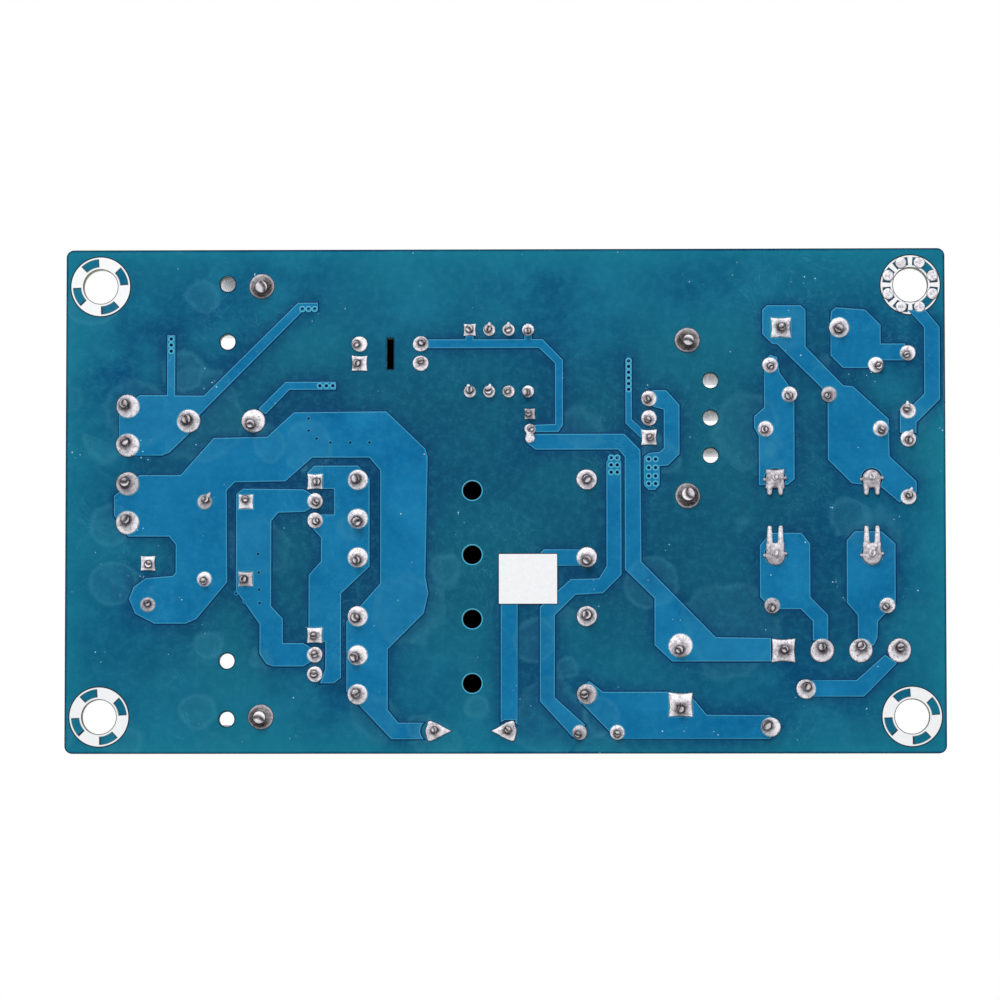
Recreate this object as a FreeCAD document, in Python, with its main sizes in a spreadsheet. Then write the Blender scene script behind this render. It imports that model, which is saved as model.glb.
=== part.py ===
import FreeCAD
import Part
import os
import re
from collections import namedtuple
from math import cos, hypot, pi, sin, sqrt
from types import SimpleNamespace

from FreeCAD import Placement, Rotation, Vector

# Open frame power supply.
# A bare circuit board carries the mains input parts on its left (-X), the transformer in the
# middle and the output parts on its right (+X). The frame's origin is the centre of the four
# mounting holes, on the board's underside. +Z points up out of the component side, +X to the
# output terminal and +Y to the mains terminal. Lengths are in millimetres.

# Driving dimensions
SIZES = {
    # Circuit board and its drillings
    "board_thickness": 1.6,
    "board_corner": 1.0,
    "mount_hole": 4.5,
    "mount_inset_across": 4.5,
    "mount_inset_along": 4.8,
    "vent_hole": 2.0,
    "cooling_hole": 2.5,
    "slot_width": 0.9,
    "slot_length": 4.0,
    "drill_clearance": 0.1,
    "primary_vent_setback": 5.13,
    "output_vent_setback": 8.6,
    "output_vent_inset": 5.3,
    "cooling_pitch": 8.4,
    # How far a cutting shape runs past the face that it cuts
    "cut_overrun": 1.0,
    # Copper and solder on the underside
    "track_height": 0.1,
    "large_joint_height": 1.9,
    "small_joint_height": 1.3,
    "earth_ring": 6.25,
    "earth_blob": 1.5,
    "earth_blob_height": 0.5,
    "large_pad_from": 2.4,
    "arrow_neck": 1.0,
    "arrow_shoulder": 0.4,
    "arrow_thickness": 0.35,
    "horn_long": 3.9,
    "horn_short": 2.1,
    "horn_root": 0.9,
    "horn_tip": 0.75,
    "horn_inside": 0.3,
    "horn_thickness": 0.4,
    # Widths of the solder pads
    "input_terminal_pad": 2.6,
    "output_terminal_pad": 3.0,
    "small_pad": 2.0,
    "spark_gap_pad": 2.9,
    "damping_pad": 1.9,
    "thermistor_pad": 2.5,
    "choke_pad": 2.8,
    "bridge_pad": 3.0,
    "bulk_pad": 3.1,
    "output_capacitor_pad": 1.9,
    "supply_pad": 1.4,
    "device_solder_pad": 2.0,
    "controller_pad": 1.55,
    "isolator_pad": 2.0,
    "transformer_pad": 2.6,
    "inductor_pad": 3.0,
    "sink_pad": 3.2,
    # Leads and pins
    "lead_wire": 0.7,
    "terminal_pin": 0.9,
    "bridge_lead_width": 1.2,
    "bridge_lead_thickness": 0.8,
    "device_lead_width": 0.8,
    "device_lead_thickness": 0.5,
    "device_lead_shoulder": 1.3,
    "device_shoulder_rise": 1.0,
    "chip_lead_width": 0.5,
    "chip_lead_thickness": 0.3,
    "chip_lead_shoulder": 1.2,
    "transformer_pin": 0.8,
    "inductor_wire": 1.0,
    # Gaps that space the parts along X, from the left edge to the right edge
    "left_margin": 2.85,
    "input_gap": 0.33,
    "bulk_gap": 0.92,
    "transformer_gap": 1.3,
    "rectifier_gap": 1.9,
    "output_capacitor_gap": 1.35,
    "neighbour_gap": 0.1,
    "inductor_gap": 0.7,
    "terminal_gap": 0.9,
    "right_margin": 1.7,
    "fin_gap": 2.07,
    # Gaps that space the parts along Y, from the bottom edge to the top edge
    "thermistor_bay": 11.65,
    "bridge_gap": 1.1,
    "choke_lower_gap": 0.9,
    "choke_upper_gap": 1.3,
    "varistor_gap": 0.3,
    "fuse_gap": 0.35,
    "input_terminal_gap": 0.4,
    "top_margin": 1.1,
    "bottom_margin": 1.3,
    "core_gap": 1.15,
    "sink_margin": 9.7,
    "output_sink_margin": 3.0,
    "bulk_rise": 10.2,
    "supply_gap": 3.1,
    "supply_shift": 7.4,
    "safety_rise": 6.1,
    "varistor_shift": 1.8,
    "damping_shift": 1.5,
    "damping_drop": 0.2,
    "thermistor_shift": 4.65,
    "thermistor_rise": 5.9,
    "capacitor_drop": 0.1,
    # Screw terminals
    "input_pitch": 7.62,
    "input_depth": 12.0,
    "input_pin_setback": 2.7,
    "input_shift": 1.67,
    "output_pitch": 5.08,
    "output_depth": 11.5,
    "output_pin_setback": 5.05,
    "output_terminal_rise": 4.83,
    "terminal_height": 14.0,
    "terminal_shoulder": 8.6,
    "terminal_lip": 1.4,
    "terminal_end_wall": 0.4,
    "wire_opening_height": 5.4,
    "wire_opening_lift": 2.6,
    "wire_opening_wall": 0.55,
    "cage_depth": 6.6,
    "cage_setback": 1.2,
    "cage_wall": 0.7,
    "cage_clearance": 0.1,
    "clamp_head": 3.8,
    "clamp_head_height": 2.4,
    "clamp_shank": 2.2,
    "clamp_sink": 0.8,
    "clamp_slot": 0.7,
    "clamp_reach": 1.0,
    # Fuse, varistor, filter capacitors
    "fuse_diameter": 3.6,
    "fuse_length": 10.0,
    "fuse_cap_length": 2.4,
    "fuse_pitch": 13.8,
    "fuse_lift": 1.2,
    "fuse_glass_inset": 0.15,
    "fuse_glass_wall": 0.5,
    "varistor_diameter": 9.6,
    "varistor_thickness": 3.4,
    "varistor_pitch": 5.15,
    "filter_length": 17.5,
    "filter_one_width": 5.0,
    "filter_two_width": 6.0,
    "filter_height": 11.5,
    "filter_pitch": 15.0,
    "filter_two_shift": 0.78,
    "filter_corner": 0.5,
    "filter_lift": 0.3,
    # Mains and bridging safety capacitors, damping capacitor, thermistor
    "safety_diameter": 9.2,
    "safety_thickness": 4.0,
    "safety_pitch": 7.6,
    "safety_spacing": 11.25,
    "bridging_thickness": 3.3,
    "bridging_pitch": 10.0,
    "bridging_shift": 0.35,
    "damping_diameter": 7.0,
    "damping_thickness": 2.4,
    "damping_pitch": 4.9,
    "thermistor_diameter": 10.0,
    "thermistor_thickness": 3.8,
    "thermistor_pitch": 6.75,
    "thermistor_turn": -47.0,
    "disc_lift": 2.6,
    "disc_edge": 0.8,
    # Common mode choke
    "choke_length": 17.0,
    "choke_width": 15.4,
    "choke_pin_span": 12.6,
    "choke_pin_depth": 9.9,
    "choke_flange": 1.3,
    "choke_bar": 4.4,
    "choke_coil_diameter": 12.4,
    "choke_axis_height": 8.4,
    "choke_coil_gap": 0.35,
    "choke_end_gap": 0.3,
    "choke_feet_height": 1.6,
    "choke_flange_rise": 3.0,
    "choke_play": 0.2,
    "choke_sleeve_wall": 1.0,
    "choke_fit": 0.1,
    # Bridge rectifier
    "bridge_length": 21.6,
    "bridge_thickness": 3.5,
    "bridge_height": 18.0,
    "bridge_lift": 3.0,
    "bridge_pitch": 5.03,
    "bridge_bevel": 4.0,
    "bridge_bevel_inset": 2.2,
    "bridge_hole": 3.3,
    "bridge_hole_drop": 5.0,
    # Electrolytic capacitors
    "bulk_diameter": 18.0,
    "bulk_height": 30.5,
    "bulk_pitch": 7.7,
    "output_capacitor_diameter": 10.0,
    "output_capacitor_height": 21.0,
    "output_capacitor_pitch": 5.4,
    "supply_capacitor_diameter": 5.0,
    "supply_capacitor_height": 11.5,
    "supply_capacitor_pitch": 2.0,
    "can_rim": 0.9,
    "can_groove": 0.45,
    "can_lift": 0.2,
    "can_top_drop": 0.3,
    "can_top_thickness": 0.2,
    # Power devices and their fixings
    "device_width": 10.2,
    "device_thickness": 4.5,
    "device_tab": 1.3,
    "device_body_height": 9.2,
    "device_height": 15.4,
    "device_lift": 4.2,
    "device_lead_setback": 2.7,
    "device_lead_pitch": 2.54,
    "device_pad": 0.2,
    "device_hole_drop": 2.8,
    "device_hole": 3.7,
    "device_slant": 0.8,
    "device_pad_margin": 0.5,
    "device_pad_clearance": 0.1,
    "rectifier_spacing": 20.1,
    "screw_diameter": 3.0,
    "screw_head": 5.6,
    "screw_head_height": 2.2,
    "screw_length": 5.0,
    "screw_slot": 0.9,
    "screw_cross": 3.4,
    # Heatsinks
    "sink_height": 27.0,
    "primary_plate": 2.4,
    "primary_sink_length": 25.0,
    "primary_reach": 9.0,
    "primary_pin_setback": 2.12,
    "primary_pin_spacing": 20.4,
    "output_plate": 2.5,
    "output_reach": 11.4,
    "output_pin_setback_from_face": 4.13,
    "output_pin_inset": 1.8,
    "fin_thickness": 1.3,
    "vent_spacing": 4.9,
    "output_vent_spacing": 7.6,
    "output_fin_inner": 7.5,
    "output_fin_outer": 5.2,
    "sink_pin": 1.8,
    "sink_pin_depth": 7.0,
    "sink_boss": 3.6,
    # Controller and feedback isolator
    "chip_pitch": 2.54,
    "controller_row": 8.1,
    "controller_shift": 3.49,
    "controller_rise": 1.45,
    "controller_length": 9.4,
    "chip_width": 6.4,
    "chip_height": 3.3,
    "chip_lift": 0.5,
    "chip_notch": 1.6,
    "chip_notch_depth": 0.5,
    "isolator_row": 8.0,
    "isolator_length": 4.6,
    "isolator_setback": 4.2,
    "isolator_rise": 0.95,
    "surface_length": 2.0,
    "surface_width": 1.25,
    "surface_height": 0.5,
    "surface_gap": 3.3,
    "surface_pitch": 4.0,
    # Transformer
    "bobbin_length": 33.7,
    "bobbin_width": 30.6,
    "pin_row_spacing": 29.9,
    "pin_pitch": 5.08,
    "pin_centre_gap": 7.7,
    "core_width": 22.0,
    "core_length": 32.0,
    "core_half": 10.3,
    "core_plate": 4.6,
    "core_window": 27.5,
    "core_post": 13.4,
    "core_lift": 1.2,
    "core_seam": 0.06,
    "bobbin_wall": 1.2,
    "bobbin_play": 0.25,
    "bobbin_lift": 0.15,
    "winding_play": 0.05,
    "winding_diameter": 25.4,
    "tape_thickness": 0.3,
    "tape_width": 9.0,
    # Output inductor
    "inductor_diameter": 12.5,
    "inductor_bore": 5.0,
    "inductor_width": 6.5,
    "inductor_pitch": 8.5,
    "inductor_rise": 2.35,
    "inductor_lift": 0.4,
    "inductor_round": 1.4,
    "inductor_wire_sink": 0.6,
}

doc = FreeCAD.newDocument("OpenFramePowerSupply")
sheet = doc.addObject("Spreadsheet::Sheet", "Sizes")
for row, (alias, number) in enumerate(SIZES.items(), start=1):
    sheet.set(f"A{row}", alias)
    sheet.set(f"B{row}", str(number))
    sheet.setAlias(f"B{row}", alias)
doc.recompute()
size = SimpleNamespace(**{alias: float(sheet.get(alias)) for alias in SIZES})

# Layout along X: the chain of parts that sets the board's length
zone_start = size.left_margin + size.safety_thickness + size.input_gap
zone_end = zone_start + size.filter_length
bulk_start = zone_end + size.bulk_gap
transformer_start = bulk_start + size.bulk_diameter + size.transformer_gap
device_start = transformer_start + size.bobbin_length + size.rectifier_gap
output_face_distance = device_start + size.device_thickness + size.device_pad
plate_back = output_face_distance + size.output_plate
inductor_start = plate_back + size.inductor_gap
terminal_start = inductor_start + size.inductor_diameter + size.terminal_gap
board_length = terminal_start + size.output_depth + size.right_margin

# Layout along Y: the stack of input parts that sets the board's width
bridge_start = size.thermistor_bay
filter_two_start = bridge_start + size.bridge_thickness + size.bridge_gap
choke_start = filter_two_start + size.filter_two_width + size.choke_lower_gap
filter_one_start = choke_start + size.choke_width + size.choke_upper_gap
varistor_start = filter_one_start + size.filter_one_width + size.varistor_gap
fuse_start = varistor_start + size.varistor_thickness + size.fuse_gap
input_terminal_start = fuse_start + size.fuse_diameter + size.input_terminal_gap
board_width = input_terminal_start + size.input_depth + size.top_margin

# The same distances counted from the frame's origin
left = -board_length / 2
right = board_length / 2
bottom = -board_width / 2
top = board_width / 2
deck = size.board_thickness

safety_x = left + size.left_margin + size.safety_thickness / 2
input_x = left + (zone_start + zone_end) / 2
input_terminal_x = input_x + size.input_shift
bridge_x = left + size.left_margin + size.bridge_length / 2
bulk_x = left + bulk_start + size.bulk_diameter / 2
primary_face = left + zone_end + size.fin_gap + size.primary_reach
transformer_x = left + transformer_start + size.bobbin_length / 2
primary_row = transformer_x - size.pin_row_spacing / 2
secondary_row = transformer_x + size.pin_row_spacing / 2
output_face = left + output_face_distance
rectifier_row = output_face - size.device_pad - size.device_lead_setback
capacitor_x = left + plate_back + size.output_capacitor_gap + size.output_capacitor_diameter / 2
inductor_x = left + inductor_start + size.inductor_diameter / 2
output_terminal_back = left + terminal_start

bridge_y = bottom + bridge_start + size.bridge_thickness / 2
filter_two_y = bottom + filter_two_start + size.filter_two_width / 2
choke_y = bottom + choke_start + size.choke_width / 2
filter_one_y = bottom + filter_one_start + size.filter_one_width / 2
varistor_y = bottom + varistor_start + size.varistor_thickness / 2
fuse_y = bottom + fuse_start + size.fuse_diameter / 2
input_terminal_back = bottom + input_terminal_start
bridging_y = bottom + size.bottom_margin + size.bridging_thickness / 2
transformer_y = bridging_y + size.bridging_thickness / 2 + size.core_gap + size.core_length / 2
transformer_top = transformer_y + size.core_length / 2
bulk_y = bottom + size.bulk_rise
thermistor_x = input_x + size.thermistor_shift
thermistor_y = bottom + size.thermistor_rise
sink_y = top - size.sink_margin - size.primary_sink_length / 2
supply_x = primary_row + size.supply_shift
supply_y = transformer_top + size.supply_gap + size.supply_capacitor_diameter / 2
controller_y = (
    supply_y + size.supply_capacitor_diameter / 2 + size.controller_rise + size.controller_row / 2
)
controller_x = transformer_x - size.controller_shift
isolator_x = secondary_row - size.isolator_setback
isolator_y = controller_y + size.isolator_rise
output_terminal_y = size.output_terminal_rise
output_terminal_length = 4 * size.output_pitch + 2 * size.terminal_end_wall
capacitor_one_y = -size.capacitor_drop
capacitor_two_y = capacitor_one_y - size.output_capacitor_diameter - size.neighbour_gap
capacitor_three_x = capacitor_x + size.output_capacitor_diameter + size.neighbour_gap
capacitor_three_y = (
    output_terminal_y
    - output_terminal_length / 2
    - size.neighbour_gap
    - size.output_capacitor_diameter / 2
)
inductor_y = (
    capacitor_one_y
    + size.output_capacitor_diameter / 2
    + size.inductor_rise
    + size.inductor_width / 2
)

X_AXIS = Vector(1, 0, 0)
Y_AXIS = Vector(0, 1, 0)
Z_AXIS = Vector(0, 0, 1)
nodes = []


def cells(expression):
    """The expression with each sheet name in it written as the sheet's own cell."""
    return re.sub(
        r"[a-z][a-z_]*",
        lambda found: f"Sizes.{found.group()}" if found.group() in SIZES else found.group(),
        expression,
    )


def bind(item, **expressions):
    """Tie an object's properties to the sheet, and work them out once."""
    for name, expression in expressions.items():
        item.setExpression(name, cells(expression))
    item.recompute()
    return item


def place(x, y, z=0.0, turn=0.0):
    """A place in the frame, turned about the vertical by so many degrees."""
    return Placement(Vector(x, y, z), Rotation(Z_AXIS, turn))


def block(label, length, width, height, at, shift=(0, 0, 0)):
    """A box whose base is centred on the place, then moved by the shift in the place's own axes."""
    item = bind(doc.addObject("Part::Box", label), Length=length, Width=width, Height=height)
    corner = Vector(-item.Length.Value / 2, -item.Width.Value / 2, 0)
    item.Placement = at * Placement(corner + Vector(*shift), Rotation())
    return item


def post(label, radius, height, at, shift=(0, 0, 0), lean=None):
    """A cylinder that rises from the place, or lies along the axis that it is leaned to."""
    item = bind(doc.addObject("Part::Cylinder", label), Radius=radius, Height=height)
    lying = Rotation(Z_AXIS, lean) if lean else Rotation()
    item.Placement = at * Placement(Vector(*shift), lying)
    return item


def join(label, pieces):
    """One solid out of pieces that overlap or touch."""
    item = doc.addObject("Part::MultiFuse", label)
    item.Shapes = pieces
    return item


def carve(label, base, tools):
    """The base with the tools cut out of it."""
    item = doc.addObject("Part::Cut", label)
    item.Base = base
    item.Tool = tools[0] if len(tools) == 1 else join(label + "_tools", tools)
    return item


def gather(label, pieces):
    """Separate solids of one kind that share a node."""
    item = doc.addObject("Part::Compound", label)
    item.Links = pieces
    return keep(item, label)


def solids(label, shapes):
    """An object whose solids are worked out from the sheet by this script."""
    item = doc.addObject("Part::Feature", label)
    item.Shape = Part.makeCompound(shapes)
    return item


def keep(item, label):
    """Name an object as a node of the part."""
    item.Label = label
    nodes.append(item)
    return item


def start_body(label):
    """An empty body for sketches and the steps made from them."""
    body = doc.addObject("PartDesign::Body", label)
    body.Label = label
    return body


def start_sketch(body, name, plane="XY_Plane"):
    """A sketch on one of the body's own planes."""
    sketch = body.newObject("Sketcher::SketchObject", name)
    support = next(item for item in body.Origin.OriginFeatures if item.Role == plane)
    sketch.AttachmentSupport = (support, "")
    sketch.MapMode = "FlatFace"
    return sketch


def draw_loop(sketch, points):
    """A closed run of straight lines."""
    corners = [Vector(x, y, 0) for x, y in points]
    for start, end in zip(corners, corners[1:] + corners[:1]):
        sketch.addGeometry(Part.LineSegment(start, end), False)


def draw_circle(sketch, x, y, diameter):
    """One circle."""
    sketch.addGeometry(Part.Circle(Vector(x, y, 0), Z_AXIS, diameter / 2), False)


def draw_rectangle(sketch, x, y, length, width):
    """A rectangle round its centre."""
    half_length = length / 2
    half_width = width / 2
    corners = [
        (x - half_length, y - half_width),
        (x + half_length, y - half_width),
        (x + half_length, y + half_width),
        (x - half_length, y + half_width),
    ]
    draw_loop(sketch, corners)


def pad(body, sketch, length):
    """Pad a sketch by a length that the sheet gives."""
    raised = body.newObject("PartDesign::Pad", sketch.Name + "_pad")
    raised.Profile = sketch
    raised.setExpression("Length", cells(length))
    return raised


def pocket(body, sketch):
    """Cut a sketch's outlines right through the body, both ways."""
    cut = body.newObject("PartDesign::Pocket", sketch.Name + "_pocket")
    cut.Profile = sketch
    cut.Type = "ThroughAll"
    cut.Midplane = True
    return cut


def turned(label, outline):
    """A body turned about Z from an outline of (radius, height) points."""
    body = start_body(label)
    sketch = start_sketch(body, label + "_profile", "XZ_Plane")
    draw_loop(sketch, outline)
    spin = body.newObject("PartDesign::Revolution", label + "_turn")
    spin.Profile = sketch
    spin.ReferenceAxis = (sketch, ["V_Axis"])
    spin.Angle = 360
    return body


# Every soldered pin: where it comes through, its section, its pad and how its joint is shaped
Pin = namedtuple("Pin", "x y thick wide pad joint")
pins = []


def lead(x, y, thick, wide, solder_pad, joint, reach):
    """A flat or square lead from the board's underside up to a height, and its drilled pin."""
    pins.append(Pin(x, y, thick, wide, solder_pad, joint))
    return Part.makeBox(thick, wide, reach, Vector(x - thick / 2, y - wide / 2, 0))


# Screw terminals
wire_cages = []
clamp_screws = []
terminal_pins = []


def terminal_block(label, poles, pitch, depth, setback, solder_pad, at, first_joint="round"):
    """A moulded block of screw terminals whose wires enter from the far side of its depth.

    In its own axes X runs from its back to the wire side, Y along the row and Z up. The first
    pole's solder joint may be square.
    """
    pitch_size = getattr(size, pitch)
    depth_size = getattr(size, depth)
    body = start_body(label + "_moulding")
    side = start_sketch(body, label + "_side", "XZ_Plane")
    shoulder = size.terminal_shoulder
    height = size.terminal_height
    lip = size.terminal_lip
    outline = [
        (0, 0),
        (depth_size, 0),
        (depth_size, shoulder),
        (depth_size - lip, shoulder + lip),
        (depth_size - 2 * lip, height),
        (lip, height),
        (0, height - lip),
    ]
    draw_loop(side, outline)
    moulding = pad(body, side, f"{poles} * {pitch} + 2 * terminal_end_wall")
    moulding.Midplane = True
    body.Placement = at

    opening = size.wire_opening_lift
    opening_top = opening + size.wire_opening_height
    cage_x = depth_size - size.cage_setback - size.cage_depth / 2
    head_base = height - size.clamp_sink - size.clamp_head_height
    cavities = []
    for pole in range(poles):
        y = (pole - (poles - 1) / 2) * pitch_size
        room = block(
            f"{label}_room_{pole}",
            "cage_depth + cage_setback + cage_clearance",
            f"{pitch} - 2 * wire_opening_wall",
            "wire_opening_height",
            at,
            (depth_size - (size.cage_depth + size.cage_setback + size.cage_clearance) / 2, y, opening),
        )
        well = post(
            f"{label}_well_{pole}",
            "clamp_head / 2 + cage_clearance",
            "terminal_height",
            at,
            (cage_x, y, opening_top - size.cage_wall),
        )
        pin_room = block(
            f"{label}_pin_room_{pole}",
            "terminal_pin + 2 * cage_clearance",
            "terminal_pin + 2 * cage_clearance",
            "wire_opening_lift + cage_clearance",
            at,
            (setback, y, 0),
        )
        cavities += [room, well, pin_room]

        shell = block(
            f"{label}_shell_{pole}",
            "cage_depth",
            f"{pitch} - 2 * wire_opening_wall - 2 * cage_clearance",
            "wire_opening_height - 2 * cage_clearance",
            at,
            (cage_x, y, opening + size.cage_clearance),
        )
        bore = block(
            f"{label}_bore_{pole}",
            "cage_depth + cut_overrun",
            f"{pitch} - 2 * wire_opening_wall - 2 * cage_clearance - 2 * cage_wall",
            "wire_opening_height - 2 * cage_clearance - 2 * cage_wall",
            at,
            (cage_x, y, opening + size.cage_clearance + size.cage_wall),
        )
        tapping = post(
            f"{label}_tapping_{pole}",
            "clamp_shank / 2",
            "2 * cage_wall",
            at,
            (cage_x, y, opening_top - size.cage_clearance - 1.5 * size.cage_wall),
        )
        wire_cages.append(carve(f"{label}_cage_{pole}", shell, [bore, tapping]))

        head = post(
            f"{label}_head_{pole}", "clamp_head / 2", "clamp_head_height", at, (cage_x, y, head_base)
        )
        shank_base = opening_top - size.cage_wall - size.clamp_reach
        shank = bind(
            doc.addObject("Part::Cylinder", f"{label}_shank_{pole}"), Radius="clamp_shank / 2"
        )
        shank.Height = head_base - shank_base
        shank.Placement = at * Placement(Vector(cage_x, y, shank_base), Rotation())
        groove = block(
            f"{label}_slot_{pole}",
            "clamp_head + cut_overrun",
            "clamp_slot",
            "clamp_head_height",
            at,
            (cage_x, y, head_base + size.clamp_head_height - size.clamp_slot),
        )
        screw = join(f"{label}_screw_solid_{pole}", [head, shank])
        clamp_screws.append(carve(f"{label}_screw_{pole}", screw, [groove]))

        foot = at.multVec(Vector(setback, y, 0))
        reach = deck + size.wire_opening_lift + size.cage_clearance
        terminal_pins.append(
            lead(
                foot.x, foot.y, size.terminal_pin, size.terminal_pin, solder_pad,
                first_joint if pole == 0 else "round", reach,
            )
        )
    keep(carve(label, body, cavities), label)


terminal_block(
    "input_terminal", 2, "input_pitch", "input_depth", size.input_pin_setback,
    size.input_terminal_pad, place(input_terminal_x, input_terminal_back, deck, 90),
    first_joint="square",
)
terminal_block(
    "output_terminal", 4, "output_pitch", "output_depth", size.output_pin_setback,
    size.output_terminal_pad, place(output_terminal_back, output_terminal_y, deck),
)
gather("wire_cages", wire_cages)
gather("clamp_screws", clamp_screws)
keep(solids("terminal_pins", terminal_pins), "terminal_pins")

# Fuse: a glass tube between two metal caps, held up by its bent wires
wire = size.lead_wire
fuse_axis = deck + size.fuse_lift + size.fuse_diameter / 2
lying_x = Rotation(Y_AXIS, 90)
fuse_at = Placement(Vector(input_x - size.fuse_length / 2, fuse_y, fuse_axis), lying_x)
tube_outer = post(
    "fuse_tube_outer", "fuse_diameter / 2 - fuse_glass_inset", "fuse_length - 2 * fuse_cap_length",
    fuse_at, (0, 0, size.fuse_cap_length),
)
tube_bore = post(
    "fuse_tube_bore", "fuse_diameter / 2 - fuse_glass_inset - fuse_glass_wall", "fuse_length", fuse_at
)
keep(carve("fuse_tube", tube_outer, [tube_bore]), "fuse_tube")
near_cap = post("fuse_near_cap", "fuse_diameter / 2", "fuse_cap_length", fuse_at)
far_cap = post(
    "fuse_far_cap", "fuse_diameter / 2", "fuse_cap_length",
    fuse_at, (0, 0, size.fuse_length - size.fuse_cap_length),
)
gather("fuse_caps", [near_cap, far_cap])
fuse_wires = []
for side in (-1, 1):
    foot_x = input_x + side * size.fuse_pitch / 2
    riser = lead(foot_x, fuse_y, wire, wire, size.small_pad, "round", fuse_axis + wire / 2)
    cap_end = input_x + side * size.fuse_length / 2
    reach = (size.fuse_pitch - size.fuse_length + wire) / 2
    start = min(cap_end, cap_end + side * reach)
    arm = Part.makeBox(reach, wire, wire, Vector(start, fuse_y - wire / 2, fuse_axis - wire / 2))
    fuse_wires.append(riser.fuse(arm).removeSplitter())
keep(solids("fuse_wires", fuse_wires), "fuse_wires")

# Coated discs on two wires each
disc_leads = []


def disc(label, diameter, thickness, pitch, at, solder_pad, joints=("round", "round")):
    """A coated disc that stands on edge across the place's own X, on two wires."""
    body = post(label + "_blank", f"{diameter} / 2", thickness, at)
    middle = Vector(0, body.Height.Value / 2, size.disc_lift + body.Radius.Value)
    body.Placement = at * Placement(middle, Rotation(X_AXIS, 90))
    doc.recompute()
    edge = min(size.disc_edge, 0.45 * body.Height.Value)
    rims = [
        number
        for number, curve in enumerate(body.Shape.Edges, start=1)
        if isinstance(curve.Curve, Part.Circle)
    ]
    rounded = doc.addObject("Part::Chamfer", label)
    rounded.Base = body
    rounded.Edges = [(number, edge, edge) for number in rims]
    radius = body.Radius.Value
    half_pitch = getattr(size, pitch) / 2
    # The wire meets the disc's edge where the disc's own rim is that far from its middle
    chord = sqrt(max(radius**2 - (half_pitch + wire / 2) ** 2, 0.0))
    reach = at.Base.z + size.disc_lift + radius - chord + edge
    for half, joint in zip((-half_pitch, half_pitch), joints):
        foot = at.multVec(Vector(half, 0, 0))
        stem = lead(foot.x, foot.y, wire, wire, solder_pad, joint, reach)
        disc_leads.append((stem, rounded))
    return rounded


varistor = disc(
    "varistor", "varistor_diameter", "varistor_thickness", "varistor_pitch",
    place(input_x + size.varistor_shift, varistor_y, deck), size.small_pad,
)
keep(varistor, "varistor")
safety_y = filter_one_y + size.safety_rise
safety_discs = [
    disc(
        f"safety_disc_{index}", "safety_diameter", "safety_thickness", "safety_pitch",
        place(safety_x, y, deck, 90), size.small_pad,
    )
    for index, y in enumerate((safety_y, safety_y - size.safety_spacing))
]
gather("mains_safety_capacitors", safety_discs)
bridging = disc(
    "bridging_capacitor", "safety_diameter", "bridging_thickness", "bridging_pitch",
    place(transformer_x + size.bridging_shift, bridging_y, deck), size.spark_gap_pad,
    ("arrow_right", "arrow_left"),
)
keep(bridging, "bridging_capacitor")
damping = disc(
    "damping_capacitor", "damping_diameter", "damping_thickness", "damping_pitch",
    place(primary_row - size.damping_shift, bridging_y - size.damping_drop, deck), size.damping_pad,
)
keep(damping, "damping_capacitor")
thermistor_disc = disc(
    "thermistor", "thermistor_diameter", "thermistor_thickness", "thermistor_pitch",
    place(thermistor_x, thermistor_y, deck, size.thermistor_turn), size.thermistor_pad,
)
keep(thermistor_disc, "thermistor")
doc.recompute()
stems = [stem.cut(body.Shape) for stem, body in disc_leads]
keep(solids("disc_wires", stems), "disc_wires")

# Moulded filter capacitors
filter_leads = []
filters = []
for index, (width, x, y) in enumerate(
    (
        ("filter_one_width", input_x, filter_one_y),
        ("filter_two_width", input_x - size.filter_two_shift, filter_two_y),
    )
):
    case = block(
        f"filter_case_{index}", "filter_length", width, "filter_height",
        place(x, y, deck + size.filter_lift),
    )
    doc.recompute()
    uprights = [
        number
        for number, edge in enumerate(case.Shape.Edges, start=1)
        if abs(edge.tangentAt(edge.FirstParameter).z) > 0.9
    ]
    rounded = doc.addObject("Part::Chamfer", f"filter_{index}")
    rounded.Base = case
    rounded.Edges = [(number, size.filter_corner, size.filter_corner) for number in uprights]
    filters.append(rounded)
    for side in (-1, 1):
        foot_x = x + side * size.filter_pitch / 2
        filter_leads.append(
            lead(foot_x, y, wire, wire, size.small_pad, "round", deck + size.filter_lift)
        )
gather("filter_capacitors", filters)
keep(solids("filter_wires", filter_leads), "filter_wires")

# Common mode choke: two coils on a split bobbin, closed by a ring of ferrite
choke_at = place(input_x, choke_y, deck)
ring_bottom = size.choke_axis_height - size.choke_bar / 2
core_block = block(
    "choke_ring", "choke_length", "choke_bar",
    "choke_coil_diameter / 2 + choke_coil_gap + 3 * choke_bar / 2",
    choke_at, (0, 0, ring_bottom),
)
window = block(
    "choke_window", "choke_length - 2 * choke_bar", "choke_bar + 2 * cut_overrun",
    "choke_coil_diameter / 2 + choke_coil_gap - choke_bar / 2",
    choke_at, (0, 0, ring_bottom + size.choke_bar),
)
keep(carve("choke_core", core_block, [window]), "choke_core")
flange_span = size.choke_length - 2 * size.choke_bar - 2 * size.choke_end_gap
flange_reach = (flange_span - size.choke_flange) / 2
flange_x = [-flange_reach, 0.0, flange_reach]
flanges = [
    block(
        f"choke_flange_{index}", "choke_flange", "choke_width - choke_sleeve_wall",
        "choke_axis_height + choke_bar / 2 + choke_flange_rise", choke_at, (x, 0, 0),
    )
    for index, x in enumerate(flange_x)
]
feet = block("choke_feet", "choke_length", "choke_width", "choke_feet_height", choke_at)
sleeve_side = "choke_bar + 2 * choke_play + 2 * choke_sleeve_wall"
sleeve = block(
    "choke_sleeve", "choke_length - 2 * choke_bar - 2 * choke_end_gap", sleeve_side, sleeve_side,
    choke_at, (0, 0, ring_bottom - size.choke_play - size.choke_sleeve_wall),
)
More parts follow.
